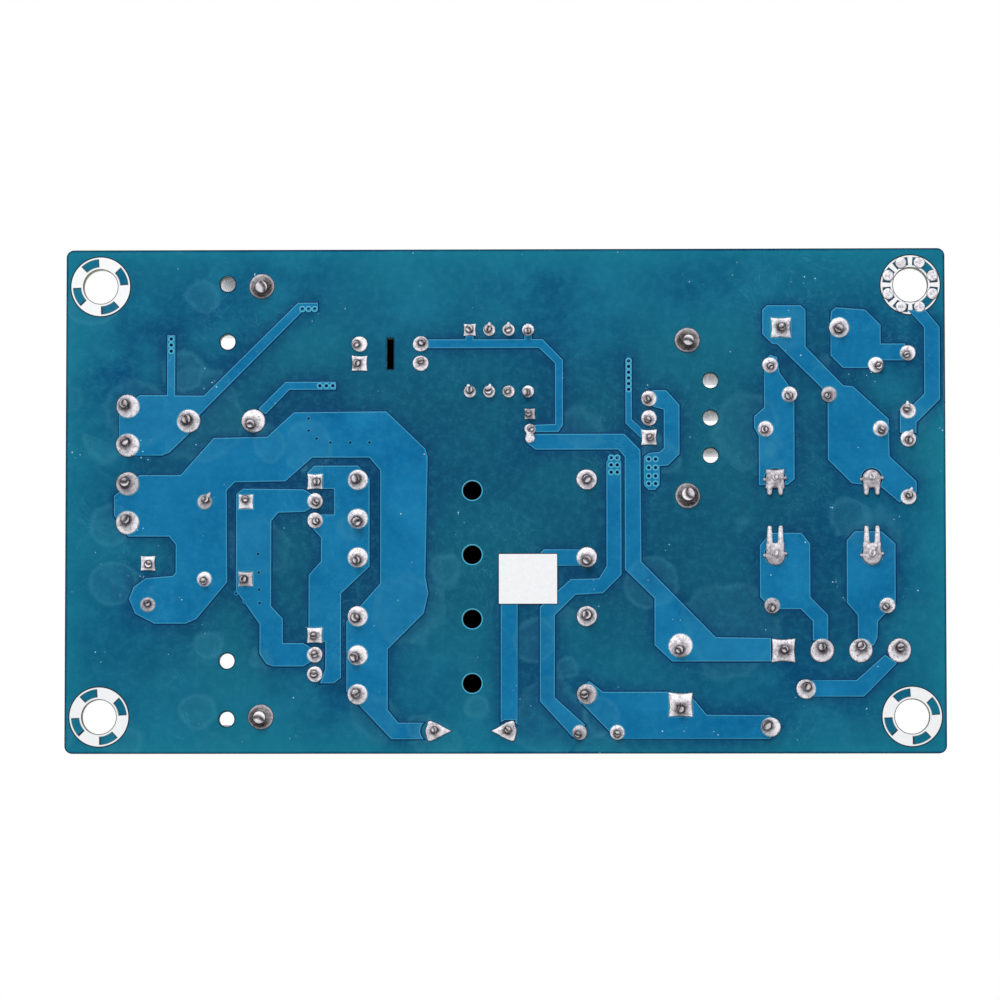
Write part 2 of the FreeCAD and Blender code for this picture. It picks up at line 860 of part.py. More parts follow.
room_side = "choke_bar + 2 * choke_play"
core_room = block(
    "choke_core_room", "choke_length + 2 * cut_overrun", room_side, room_side,
    choke_at, (0, 0, ring_bottom - size.choke_play),
)
bobbin = join("choke_bobbin_solid", flanges + [feet, sleeve])
keep(carve("choke_bobbin", bobbin, [core_room]), "choke_bobbin")
coils = []
coil_length = flange_reach - size.choke_flange - 2 * size.choke_fit
bore_side = sleeve_side + " + 2 * choke_fit"
bore_drop = size.choke_play + size.choke_sleeve_wall + size.choke_fit
for index in (0, 1):
    middle = (flange_x[index] + flange_x[index + 1]) / 2
    coil = bind(
        doc.addObject("Part::Cylinder", f"choke_coil_{index}"), Radius="choke_coil_diameter / 2"
    )
    coil.Height = coil_length
    coil.Placement = choke_at * Placement(
        Vector(middle - coil_length / 2, 0, size.choke_axis_height), lying_x
    )
    core_hole = block(
        f"choke_coil_bore_{index}", "choke_length", bore_side, bore_side,
        choke_at, (0, 0, ring_bottom - bore_drop),
    )
    coils.append(carve(f"choke_winding_{index}", coil, [core_hole]))
gather("choke_windings", coils)
choke_leads = []
for side_x in (-1, 1):
    for side_y in (-1, 1):
        x = input_x + side_x * size.choke_pin_span / 2
        y = choke_y + side_y * size.choke_pin_depth / 2
        horn = "horn_short" if side_y > 0 else "horn_long"
        choke_leads.append(lead(x, y, wire, wire, size.choke_pad, horn, deck))
keep(solids("choke_pins", choke_leads), "choke_pins")

# Bridge rectifier
bridge_at = place(bridge_x, bridge_y, deck)
bridge_top = size.bridge_lift + size.bridge_height
bridge_case = block(
    "bridge_case", "bridge_length", "bridge_thickness", "bridge_height",
    bridge_at, (0, 0, size.bridge_lift),
)
bevel = block(
    "bridge_bevel", "bridge_bevel", "bridge_thickness + 2 * cut_overrun", "bridge_bevel", bridge_at
)
bevel.Placement = bridge_at * Placement(
    Vector(
        size.bridge_length / 2 - size.bridge_bevel_inset,
        -size.bridge_thickness / 2 - size.cut_overrun,
        bridge_top,
    ),
    Rotation(Y_AXIS, 45),
)
hole_middle = Vector(
    0, size.bridge_thickness / 2 + size.cut_overrun, bridge_top - size.bridge_hole_drop
)
bridge_hole = post(
    "bridge_hole", "bridge_hole / 2", "bridge_thickness + 2 * cut_overrun",
    bridge_at * Placement(hole_middle, Rotation(X_AXIS, 90)),
)
keep(carve("bridge_rectifier", bridge_case, [bevel, bridge_hole]), "bridge_rectifier")
bridge_leads = []
for index in range(4):
    x = bridge_x + (index - 1.5) * size.bridge_pitch
    joint = "square" if index == 3 else "round"
    bridge_leads.append(
        lead(
            x, bridge_y, size.bridge_lead_width, size.bridge_lead_thickness, size.bridge_pad,
            joint, deck + size.bridge_lift,
        )
    )
keep(solids("bridge_pins", bridge_leads), "bridge_pins")


# Electrolytic capacitors
can_leads = []
can_tops = []


def can(label, radius, height, at, pitch, turn, solder_pad):
    """A sleeved can with a crimped groove, an open rim and a bare metal top."""
    rim = min(size.can_rim, radius * 0.2)
    groove = min(size.can_groove, radius * 0.1)
    outline = [
        (0, 0),
        (radius - groove, 0),
        (radius, groove),
        (radius, 3 * groove),
        (radius - groove, 4.5 * groove),
        (radius, 6 * groove),
        (radius, height - rim / 2),
        (radius - rim / 2, height),
        (radius - rim, height),
        (radius - rim, height - size.can_top_drop),
        (0, height - size.can_top_drop),
    ]
    sleeve_body = turned(label, outline)
    sleeve_body.Placement = at
    disc_top = bind(doc.addObject("Part::Cylinder", label + "_top"), Height="can_top_thickness")
    disc_top.Radius = radius - rim
    disc_top.Placement = at * Placement(Vector(0, 0, height - size.can_top_drop), Rotation())
    can_tops.append(disc_top)
    half = pitch / 2
    for side in (-1, 1):
        foot = at.Base + Rotation(Z_AXIS, turn).multVec(Vector(side * half, 0, 0))
        joint = "square" if side < 0 else "round"
        can_leads.append(lead(foot.x, foot.y, wire, wire, solder_pad, joint, at.Base.z))
    return sleeve_body


can_base = deck + size.can_lift
bulk = can(
    "bulk_capacitor", size.bulk_diameter / 2, size.bulk_height,
    place(bulk_x, bulk_y, can_base), size.bulk_pitch, 90, size.bulk_pad,
)
keep(bulk, "bulk_capacitor")
output_cans = []
for index, (x, y, turn) in enumerate(
    (
        (capacitor_x, capacitor_one_y, 0),
        (capacitor_x, capacitor_two_y, 0),
        (capacitor_three_x, capacitor_three_y, -90),
    )
):
    output_cans.append(
        can(
            f"output_can_{index}", size.output_capacitor_diameter / 2, size.output_capacitor_height,
            place(x, y, can_base), size.output_capacitor_pitch, turn, size.output_capacitor_pad,
        )
    )
gather("output_capacitors", output_cans)
supply = can(
    "supply_capacitor", size.supply_capacitor_diameter / 2, size.supply_capacitor_height,
    place(supply_x, supply_y, can_base), size.supply_capacitor_pitch, -90, size.supply_pad,
)
keep(supply, "supply_capacitor")
gather("capacitor_tops", can_tops)
keep(solids("capacitor_wires", can_leads), "capacitor_wires")

# Power devices: a metal tab and a moulded body, screwed to a heatsink over an insulating pad
device_tabs = []
device_bodies = []
device_pads = []
device_screws = []
device_leads = []


def power_device(label, at, joints):
    """One device. In its own axes X runs away from the heatsink's face, Y along it and Z up."""
    hole_height = size.device_lift + size.device_height - size.device_hole_drop
    tab_back = size.device_pad
    tab_front = tab_back + size.device_tab
    hole_at = at * Placement(Vector(-size.cut_overrun, 0, hole_height), lying_x)
    hole = post(label + "_hole", "device_hole / 2", "device_thickness + 2 * cut_overrun", hole_at)
    tab = block(
        label + "_tab_blank", "device_tab", "device_width", "device_height", at,
        ((tab_back + tab_front) / 2, 0, size.device_lift),
    )
    device_tabs.append(carve(label + "_tab", tab, [hole]))
    body_depth = size.device_thickness - size.device_tab
    shell = start_body(label + "_shell")
    side = start_sketch(shell, label + "_side", "XZ_Plane")
    front = tab_front + body_depth
    body_base = size.device_lift
    body_top = size.device_lift + size.device_body_height
    slant = size.device_slant
    draw_loop(
        side,
        [
            (tab_front, body_base),
            (front - slant / 2, body_base),
            (front, body_base + slant),
            (front, body_top - slant),
            (front - slant, body_top),
            (tab_front, body_top),
        ],
    )
    moulding = pad(shell, side, "device_width")
    moulding.Midplane = True
    shell.Placement = at
    device_bodies.append(shell)
    sheet_pad = block(
        label + "_pad_blank", "device_pad", "device_width + 2 * device_pad_margin",
        "device_height + 2 * device_pad_margin", at,
        (size.device_pad / 2, 0, size.device_lift - size.device_pad_margin),
    )
    pad_hole = post(
        label + "_pad_hole", "screw_diameter / 2 + device_pad_clearance",
        "device_pad + 2 * cut_overrun", hole_at,
    )
    device_pads.append(carve(label + "_pad", sheet_pad, [pad_hole]))

    screw_at = at * Placement(Vector(tab_front, 0, hole_height), lying_x)
    head = post(label + "_screw_head", "screw_head / 2", "screw_head_height", screw_at)
    shank = post(
        label + "_screw_shank", "screw_diameter / 2", "screw_length", screw_at, (0, 0, -size.screw_length)
    )
    cross = []
    for turn in (0, 90):
        arm = block(
            f"{label}_cross_{turn}", "screw_cross", "screw_slot", "screw_head_height",
            screw_at * Placement(Vector(), Rotation(Z_AXIS, turn)), (0, 0, size.screw_head_height / 2),
        )
        cross.append(arm)
    solid = join(label + "_screw_solid", [head, shank])
    device_screws.append(carve(label + "_screw", solid, cross))
    row_x = tab_back + size.device_lead_setback
    for index, joint in zip((-1, 0, 1), joints):
        foot = at.multVec(Vector(row_x, index * size.device_lead_pitch, 0))
        thickness = size.device_lead_thickness
        thin = lead(
            foot.x, foot.y, thickness, size.device_lead_width, size.device_solder_pad,
            joint, deck + size.device_lift,
        )
        shoulder = size.device_lead_shoulder
        corner = Vector(
            foot.x - thickness / 2, foot.y - shoulder / 2, deck + size.device_shoulder_rise
        )
        wide = Part.makeBox(
            thickness, shoulder, size.device_lift - size.device_shoulder_rise, corner
        )
        device_leads.append(thin.fuse(wide).removeSplitter())


transistor_at = place(primary_face, sink_y, deck)
rectifier_places = [
    place(output_face, 0.0, deck, 180),
    place(output_face, -size.rectifier_spacing, deck, 180),
]
power_device("transistor", transistor_at, ("square", "round", "round"))
power_device("rectifier_one", rectifier_places[0], ("square", "round", "round"))
power_device("rectifier_two", rectifier_places[1], ("square", "round", "round"))
gather("device_tabs", device_tabs)
gather("device_bodies", device_bodies)
gather("insulating_pads", device_pads)
gather("device_screws", device_screws)
keep(solids("device_pins", device_leads), "device_pins")

# Heatsinks: extruded plates with fins, on pins that are soldered into the board
sink_pins = []
screw_hole_height = size.device_lift + size.device_height - size.device_hole_drop


def comb(plate, reach, half_length, fins):
    """The outline of a plate with fins on its back, as (distance behind the face, along) points."""
    half_fin = size.fin_thickness / 2
    points = [(0, -half_length), (plate, -half_length)]
    for middle in sorted(fins):
        low = max(middle - half_fin, -half_length)
        high = min(middle + half_fin, half_length)
        points += [(plate, low), (reach, low), (reach, high), (plate, high)]
    points += [(plate, half_length), (0, half_length)]
    cleaned = []
    for point in points:
        if not cleaned or point != cleaned[-1]:
            cleaned.append(point)
    return cleaned


def heatsink(label, outline, at, boss_setback, pin_rows, holes):
    """A heatsink whose face is the place's own Y-Z plane, with its fins behind it."""
    body = start_body(label + "_extrusion")
    sketch = start_sketch(body, label + "_section")
    draw_loop(sketch, [(-behind, along) for behind, along in outline])
    pad(body, sketch, "sink_height")
    body.Placement = at
    bosses = []
    bores = []
    for index, along in enumerate(pin_rows):
        boss = post(
            f"{label}_boss_{index}", "sink_boss / 2", "sink_height", at, (-boss_setback, along, 0)
        )
        web = block(
            f"{label}_web_{index}", "sink_boss / 2", "sink_boss", "sink_height", at,
            (-boss_setback + size.sink_boss / 4, along, 0),
        )
        bosses += [boss, web]
        bores.append(
            post(
                f"{label}_bore_{index}", "sink_pin / 2", "sink_pin_depth", at, (-boss_setback, along, 0)
            )
        )
        pin = bind(doc.addObject("Part::Cylinder", f"{label}_pin_{index}"), Radius="sink_pin / 2")
        pin.Height = deck + size.sink_pin_depth
        foot = at.multVec(Vector(-boss_setback, along, 0))
        pin.Placement = Placement(Vector(foot.x, foot.y, 0), Rotation())
        sink_pins.append(pin)
        pins.append(Pin(foot.x, foot.y, size.sink_pin, size.sink_pin, size.sink_pad, "sink"))
    for index, along in enumerate(holes):
        bores.append(
            post(
                f"{label}_tapping_{index}", "screw_diameter / 2", "screw_length + 2 * cut_overrun",
                at * Placement(
                    Vector(-size.screw_length - size.cut_overrun, along, screw_hole_height), lying_x
                ),
            )
        )
    solid = join(label + "_solid", [body] + bosses)
    return keep(carve(label, solid, bores), label)


primary_fins = [(step - 1.5) * size.vent_spacing for step in range(4)]
primary_half = size.primary_sink_length / 2
heatsink(
    "primary_heatsink",
    comb(size.primary_plate, size.primary_reach, primary_half, primary_fins),
    transistor_at, size.primary_pin_setback,
    [-size.primary_pin_spacing / 2, size.primary_pin_spacing / 2], [0.0],
)
output_half = board_width / 2 - size.output_sink_margin
vent_middle = output_half - size.output_vent_inset
output_fins = [
    side * (vent_middle + offset)
    for side in (-1, 1)
    for offset in (-size.output_fin_inner, 0, size.output_fin_outer)
]
output_at = place(output_face, 0, deck, 180)
heatsink(
    "output_heatsink",
    comb(size.output_plate, size.output_reach, output_half, output_fins),
    output_at, size.output_pin_setback_from_face,
    [-(output_half - size.output_pin_inset), output_half - size.output_pin_inset],
    [0.0, size.rectifier_spacing],
)
gather("heatsink_pins", sink_pins)

# Controller and feedback isolator: moulded cases with a notch and bent leads


def dual_row(label, length, row, places_per_side, at, solder_pad, square_index):
    """A moulded chip with two rows of leads. Its rows run along the place's own X."""
    case = block(label + "_case", length, "chip_width", "chip_height", at, (0, 0, size.chip_lift))
    half_length = case.Length.Value / 2
    notch = post(
        label + "_notch", "chip_notch / 2", "chip_height", at,
        (half_length, 0, size.chip_lift + size.chip_height - size.chip_notch_depth),
    )
    keep(carve(label, case, [notch]), label)
    chip_leads = []
    count = 0
    half_row = row / 2
    leg = size.chip_lead_thickness
    across = size.chip_lead_width
    shoulder_height = size.chip_lift + size.chip_height / 2
    for side in (1, -1):
        for step in range(places_per_side):
            along = ((places_per_side - 1) / 2 - step) * size.chip_pitch
            foot = at.multVec(Vector(along, side * half_row, 0))
            joint = "square" if count == square_index else "round"
            turned_case = abs(at.Rotation.Angle) > 0.1
            thick, wide = (leg, across) if turned_case else (across, leg)
            riser = lead(foot.x, foot.y, thick, wide, solder_pad, joint, deck + shoulder_height)
            arm = Part.makeBox(
                size.chip_lead_shoulder, half_row - size.chip_width / 2 + leg / 2, leg,
                Vector(-size.chip_lead_shoulder / 2, 0, 0),
            )
            inward = 0 if side > 0 else 180
            arm.Placement = at * Placement(
                Vector(along, side * size.chip_width / 2, shoulder_height - leg),
                Rotation(Z_AXIS, inward),
            )
            chip_leads.append(riser.fuse(arm).removeSplitter())
            count += 1
    keep(solids(label + "_pins", chip_leads), label + "_pins")


dual_row(
    "controller", "controller_length", size.controller_row, 4,
    place(controller_x, controller_y, deck), size.controller_pad, 0,
)
dual_row(
    "isolator", "isolator_length", size.isolator_row, 2,
    place(isolator_x, isolator_y, deck, 90), size.isolator_pad, 3,
)

# Transformer: two ferrite halves round a bobbin, its winding and the tape over both
transformer_at = place(transformer_x, transformer_y, deck)
core_height = 2 * size.core_half + size.core_seam
halves = []
for index, flip in enumerate((0, 180)):
    rise = size.core_lift if flip == 0 else size.core_lift + core_height
    half_at = transformer_at * Placement(Vector(0, 0, rise), Rotation(Y_AXIS, flip))
    blank = block(f"core_blank_{index}", "core_width", "core_length", "core_half", half_at)
    hollow = post(
        f"core_hollow_{index}", "core_window / 2", "core_half", half_at, (0, 0, size.core_plate)
    )
    shell = carve(f"core_shell_{index}", blank, [hollow])
    centre = post(f"core_post_{index}", "core_post / 2", "core_half", half_at)
    halves.append(join(f"core_half_{index}", [shell, centre]))
gather("transformer_core", halves)

flange_bottom = size.core_lift + size.core_plate + size.bobbin_lift
flange_top = size.core_lift + core_height - size.core_plate - size.bobbin_lift
window_height = flange_top - flange_bottom
bobbin_parts = []
for index, level in enumerate((flange_bottom, flange_top - size.bobbin_wall)):
    bobbin_parts.append(
        post(
            f"bobbin_flange_{index}", "core_window / 2 - bobbin_play", "bobbin_wall",
            transformer_at, (0, 0, level),
        )
    )
rail_width = (size.bobbin_length - size.core_width) / 2 - size.bobbin_play
for index, side in enumerate((-1, 1)):
    offset = side * (size.bobbin_length / 2 - rail_width / 2)
    rail = bind(doc.addObject("Part::Box", f"bobbin_rail_{index}"), Width="bobbin_width")
    rail.Length = rail_width
    rail.Height = flange_bottom + size.bobbin_wall
    rail.Placement = transformer_at * Placement(
        Vector(offset - rail_width / 2, -size.bobbin_width / 2, 0), Rotation()
    )
    bobbin_parts.append(rail)
tube = bind(
    doc.addObject("Part::Cylinder", "bobbin_tube"), Radius="core_post / 2 + bobbin_play + bobbin_wall"
)
tube.Height = window_height
tube.Placement = transformer_at * Placement(Vector(0, 0, flange_bottom), Rotation())
bobbin_parts.append(tube)
post_room = post(
    "bobbin_post_room", "core_post / 2 + bobbin_play", "4 * core_half", transformer_at
)
bobbin_solid = join("transformer_bobbin_solid", bobbin_parts)
keep(carve("transformer_bobbin", bobbin_solid, [post_room]), "transformer_bobbin")


def ring(label, outer, inner):
    """A ring round the transformer's post, between the bobbin's flanges."""
    height = window_height - 2 * size.bobbin_wall - 2 * size.winding_play
    level = flange_bottom + size.bobbin_wall + size.winding_play
    cylinders = []
    for name, radius, extra in (("outer", outer, 0), ("inner", inner, size.cut_overrun)):
        item = bind(doc.addObject("Part::Cylinder", f"{label}_{name}"), Radius=radius)
        item.Height = height + 2 * extra
        item.Placement = transformer_at * Placement(Vector(0, 0, level - extra), Rotation())
        cylinders.append(item)
    return keep(carve(label, cylinders[0], [cylinders[1]]), label)


ring(
    "transformer_winding", "winding_diameter / 2 - tape_thickness",
    "core_post / 2 + bobbin_play + winding_play + bobbin_wall",
)
ring("winding_tape", "winding_diameter / 2", "winding_diameter / 2 - tape_thickness")
band_outer = block(
    "core_band_outer", "tape_width", "core_length + 2 * tape_thickness",
    "2 * core_half + core_seam + 2 * tape_thickness",
    transformer_at, (0, 0, size.core_lift - size.tape_thickness),
)
band_inner = block(
    "core_band_inner", "tape_width + 2 * cut_overrun", "core_length", "2 * core_half + core_seam",
    transformer_at, (0, 0, size.core_lift),
)
keep(carve("core_tape", band_outer, [band_inner]), "core_tape")

# Three pins on either side of the middle, of which the primary row leaves out the second
transformer_leads = []
transformer_pin = size.transformer_pin
for side in (1, -1):
    for step in (0, 1, 2):
        y = transformer_y + side * (size.pin_centre_gap / 2 + step * size.pin_pitch)
        for x in (secondary_row,) if step == 1 else (secondary_row, primary_row):
            transformer_leads.append(
                lead(x, y, transformer_pin, transformer_pin, size.transformer_pad, "round", deck)
            )
keep(solids("transformer_pins", transformer_leads), "transformer_pins")

# Output inductor: a wound ring that stands on edge, with its two wire ends
half_width = size.inductor_width / 2
outer = size.inductor_diameter / 2
inner = size.inductor_bore / 2
round_off = min(size.inductor_round, 0.3 * size.inductor_width, 0.3 * (outer - inner))
inductor = turned(
    "output_inductor",
    [
        (inner, -half_width + round_off),
        (inner + round_off, -half_width),
        (outer - round_off, -half_width),
        (outer, -half_width + round_off),
        (outer, half_width - round_off),
        (outer - round_off, half_width),
        (inner + round_off, half_width),
        (inner, half_width - round_off),
    ],
)
inductor_axis = deck + size.inductor_lift + outer
inductor.Placement = Placement(Vector(inductor_x, inductor_y, inductor_axis), Rotation(X_AXIS, 90))
keep(inductor, "output_inductor")
chord = sqrt(max(outer**2 - (size.inductor_pitch / 2) ** 2, 0.0))
inductor_wire = size.inductor_wire
wire_top = inductor_axis - chord + size.inductor_wire_sink
inductor_wires = [
    lead(
        inductor_x + side * size.inductor_pitch / 2, inductor_y, inductor_wire, inductor_wire,
        size.inductor_pad, "round", wire_top,
    )
    for side in (-1, 1)
]
doc.recompute()
inductor_wires = [item.cut(inductor.Shape) for item in inductor_wires]
keep(solids("inductor_wires", inductor_wires), "inductor_wires")

# Small surface parts on the component side
chips = []
beside = size.controller_length / 2 + size.surface_gap
below = size.controller_row / 2 + size.surface_gap - size.surface_width
beyond = size.isolator_row / 2 + size.surface_gap
step = size.surface_pitch
for x, y, turn in (
    (controller_x - beside, controller_y + step / 2, 90),
    (controller_x - beside, controller_y - step / 2, 90),
    (controller_x, controller_y - below, 0),
    (controller_x + step, controller_y - below, 0),
    (isolator_x + beyond, isolator_y + step / 2, 90),
    (isolator_x + beyond, isolator_y - step / 2, 90),
    (isolator_x + beyond, isolator_y + step, 0),
):
    chip = Part.makeBox(
        size.surface_length, size.surface_width, size.surface_height,
        Vector(-size.surface_length / 2, -size.surface_width / 2, 0),
    )
    chip.Placement = place(x, y, deck, turn)
    chips.append(chip)
keep(solids("surface_parts", chips), "surface_parts")

# Circuit board
mount_x = right - size.mount_inset_across
mount_y = top - size.mount_inset_along
mounts = [(side_x * mount_x, side_y * mount_y) for side_x in (-1, 1) for side_y in (-1, 1)]
vents = [
    (primary_face - size.primary_vent_setback, sink_y + step * size.vent_spacing)
    for step in (-1, 0, 1)
] + [
    (output_face + size.output_vent_setback, side * (vent_middle + step * size.output_vent_spacing / 2))
    for side in (-1, 1)
    for step in (-1, 1)
]
cooling = [
    (transformer_x, transformer_y + (step - 1.5) * size.cooling_pitch) for step in range(4)
]

board = start_body("board_panel")
outline = start_sketch(board, "board_outline")
draw_rectangle(outline, 0, 0, board_length, board_width)
slab = pad(board, outline, "board_thickness")
doc.recompute()
corner_edges = [
    f"Edge{number}"
    for number, edge in enumerate(slab.Shape.Edges, start=1)
    if abs(edge.tangentAt(edge.FirstParameter).z) > 0.9
]
fillet = board.newObject("PartDesign::Fillet", "board_corners")
fillet.Base = (slab, corner_edges)
fillet.setExpression("Radius", cells("board_corner"))
doc.recompute()
drilling = start_sketch(board, "drillings")
for x, y in mounts:
    draw_circle(drilling, x, y, size.mount_hole)
for x, y in vents:
    draw_circle(drilling, x, y, size.vent_hole)
for x, y in cooling:
    draw_circle(drilling, x, y, size.cooling_hole)
draw_rectangle(drilling, isolator_x, isolator_y, size.slot_width, size.slot_length)
pocket(board, drilling)
lead_holes = []
for pin in pins:
    across = pin.thick if pin.joint == "sink" else hypot(pin.thick, pin.wide)
    radius = size.drill_clearance + across / 2
    lead_holes.append(Part.makeCylinder(radius, 3 * deck, Vector(pin.x, pin.y, -deck)))
lead_drillings = solids("lead_drillings", lead_holes)
keep(carve("circuit_board", board, [lead_drillings]), "circuit_board")


# Solder joints: a hill of solder over each pin on the underside, pointing down


upside_down = Rotation(X_AXIS, 180)
LARGE_TIP = 0.16
BROAD_TIP = 0.3


def hill(x, y, base, tip, height):
    """A cone that hangs from the underside, from its base radius to its tip radius."""
    cone = Part.makeCone(base, tip, height)
    cone.Placement = Placement(Vector(x, y, 0), upside_down)
    return cone


def square_loop(x, y, half, level):
    """A square wire round a point."""
    corners = [(-half, -half), (half, -half), (half, half), (-half, half), (-half, -half)]
    return Part.makePolygon([Vector(x + across, y + along, level) for across, along in corners])


def pyramid(pin, height):
    """A hill of solder on a square pad."""
    half = pin.pad / 2
    base = square_loop(pin.x, pin.y, half, 0)
    peak = square_loop(pin.x, pin.y, half * BROAD_TIP, -height)
    return Part.makeLoft([base, peak], True)


footprints = []
joint_groups = {
    "power_joints": [],
    "signal_joints": [],
    "square_joints": [],
    "choke_joints": [],
    "spark_gap_joints": [],
    "heatsink_joints": [],
}


def shield(points, height):
    """A low slab of solder with the given outline, hanging from the underside."""
    edge = Part.makePolygon([Vector(x, y, 0) for x, y in points + points[:1]])
    return Part.Face(edge).extrude(Vector(0, 0, -height))


def arrowhead(pin, way):
    """The outline of a spark gap's pad, whose point lies along X in the given way."""
    half = pin.pad / 2
    neck = pin.x - way * size.arrow_neck
    shoulder = pin.x + way * size.arrow_shoulder
    point = pin.x + way * pin.pad * 0.8
    return [
        (neck, pin.y - half), (shoulder, pin.y - half), (point, pin.y),
        (shoulder, pin.y + half), (neck, pin.y + half),
    ]


def horned(pin, reach):
    """A joint with two pointed horns of solder beside its ball, and the horns alone."""
    horns = []
    for side in (-1, 1):
        outline = [
            (pin.x + side * size.horn_root, pin.y),
            (pin.x + side * size.horn_tip, pin.y + reach),
            (pin.x + side * size.horn_inside, pin.y),
        ]
        horns.append(shield(outline, size.horn_thickness))
    ball = hill(pin.x, pin.y, pin.pad / 2, pin.pad * LARGE_TIP, size.large_joint_height)
    return ball.fuse(horns), horns


for pin in pins:
    half = pin.pad / 2
    overrun = size.cut_overrun
    large = pin.pad >= size.large_pad_from
    height = size.large_joint_height if large else size.small_joint_height
    if pin.joint == "square":
        corner = Vector(pin.x - half, pin.y - half, -overrun)
        footprints.append(Part.makeBox(pin.pad, pin.pad, 2 * overrun, corner))
        joint_groups["square_joints"].append(pyramid(pin, height))
        continue
    footprints.append(Part.makeCylinder(half, 2 * overrun, Vector(pin.x, pin.y, -overrun)))
    if pin.joint == "sink":
        joint = hill(pin.x, pin.y, half, pin.pad * BROAD_TIP, height)
        joint_groups["heatsink_joints"].append(joint)
    elif pin.joint.startswith("arrow"):
        head = shield(arrowhead(pin, 1 if pin.joint == "arrow_right" else -1), size.arrow_thickness)
        footprints.append(head)
        ball = hill(pin.x, pin.y, half, pin.pad * LARGE_TIP, size.small_joint_height)
        joint_groups["spark_gap_joints"].append(head.fuse(ball))
    elif pin.joint.startswith("horn"):
        reach = size.horn_long if pin.joint == "horn_long" else -size.horn_short
        joint, horns = horned(pin, reach)
        footprints += horns
        joint_groups["choke_joints"].append(joint)
    elif large:
        joint = hill(pin.x, pin.y, half, pin.pad * LARGE_TIP, height)
        joint_groups["power_joints"].append(joint)
    else:
        joint_groups["signal_joints"].append(hill(pin.x, pin.y, half, 0, height))
for label, group in joint_groups.items():
    keep(solids(label, group), label)

# Solder bumps round the earthed mounting hole
bumps = []
bump_count = 8
bump_radius = size.earth_blob / 2
for step in range(bump_count):
    angle = 2 * pi * (step + 0.5) / bump_count
    x = size.earth_ring / 2 * cos(angle) - mount_x
    y = size.earth_ring / 2 * sin(angle) + mount_y
    bumps.append(hill(x, y, bump_radius, bump_radius / 2, size.earth_blob_height))
    base = Vector(x, y, -size.cut_overrun)
    footprints.append(Part.makeCylinder(bump_radius, 2 * size.cut_overrun, base))
keep(solids("earth_joints", bumps), "earth_joints")

# Copper tracks: raised outlines on the underside, each one net, open where the solder sits.
# Their corners are given on the layout as drawn and move with the columns and rows of parts.
output_pin_x = output_terminal_back + size.output_pin_setback
COLUMNS = [
    (-57.5, left), (-52.65, safety_x), (-41.57, input_x), (-22.9, bulk_x), (-10.7, primary_row),
    (4.25, transformer_x), (19.2, secondary_row), (24.8, rectifier_row), (36.55, capacitor_x),
    (49.35, output_pin_x), (57.5, right),
]
ROWS = [
    (-33.0, bottom), (-30.05, bridging_y), (-11.25, transformer_y), (4.75, transformer_top),
    (18.35, controller_y), (24.75, mount_y - size.earth_ring / 2), (33.0, top),
]


def between(stations, drawn):
    """Where a drawn coordinate lies once the parts on either side of it have their own places."""
    for (low, low_now), (high, high_now) in zip(stations, stations[1:]):
        if drawn <= high:
            return low_now + (drawn - low) * (high_now - low_now) / (high - low)
    return stations[-1][1]


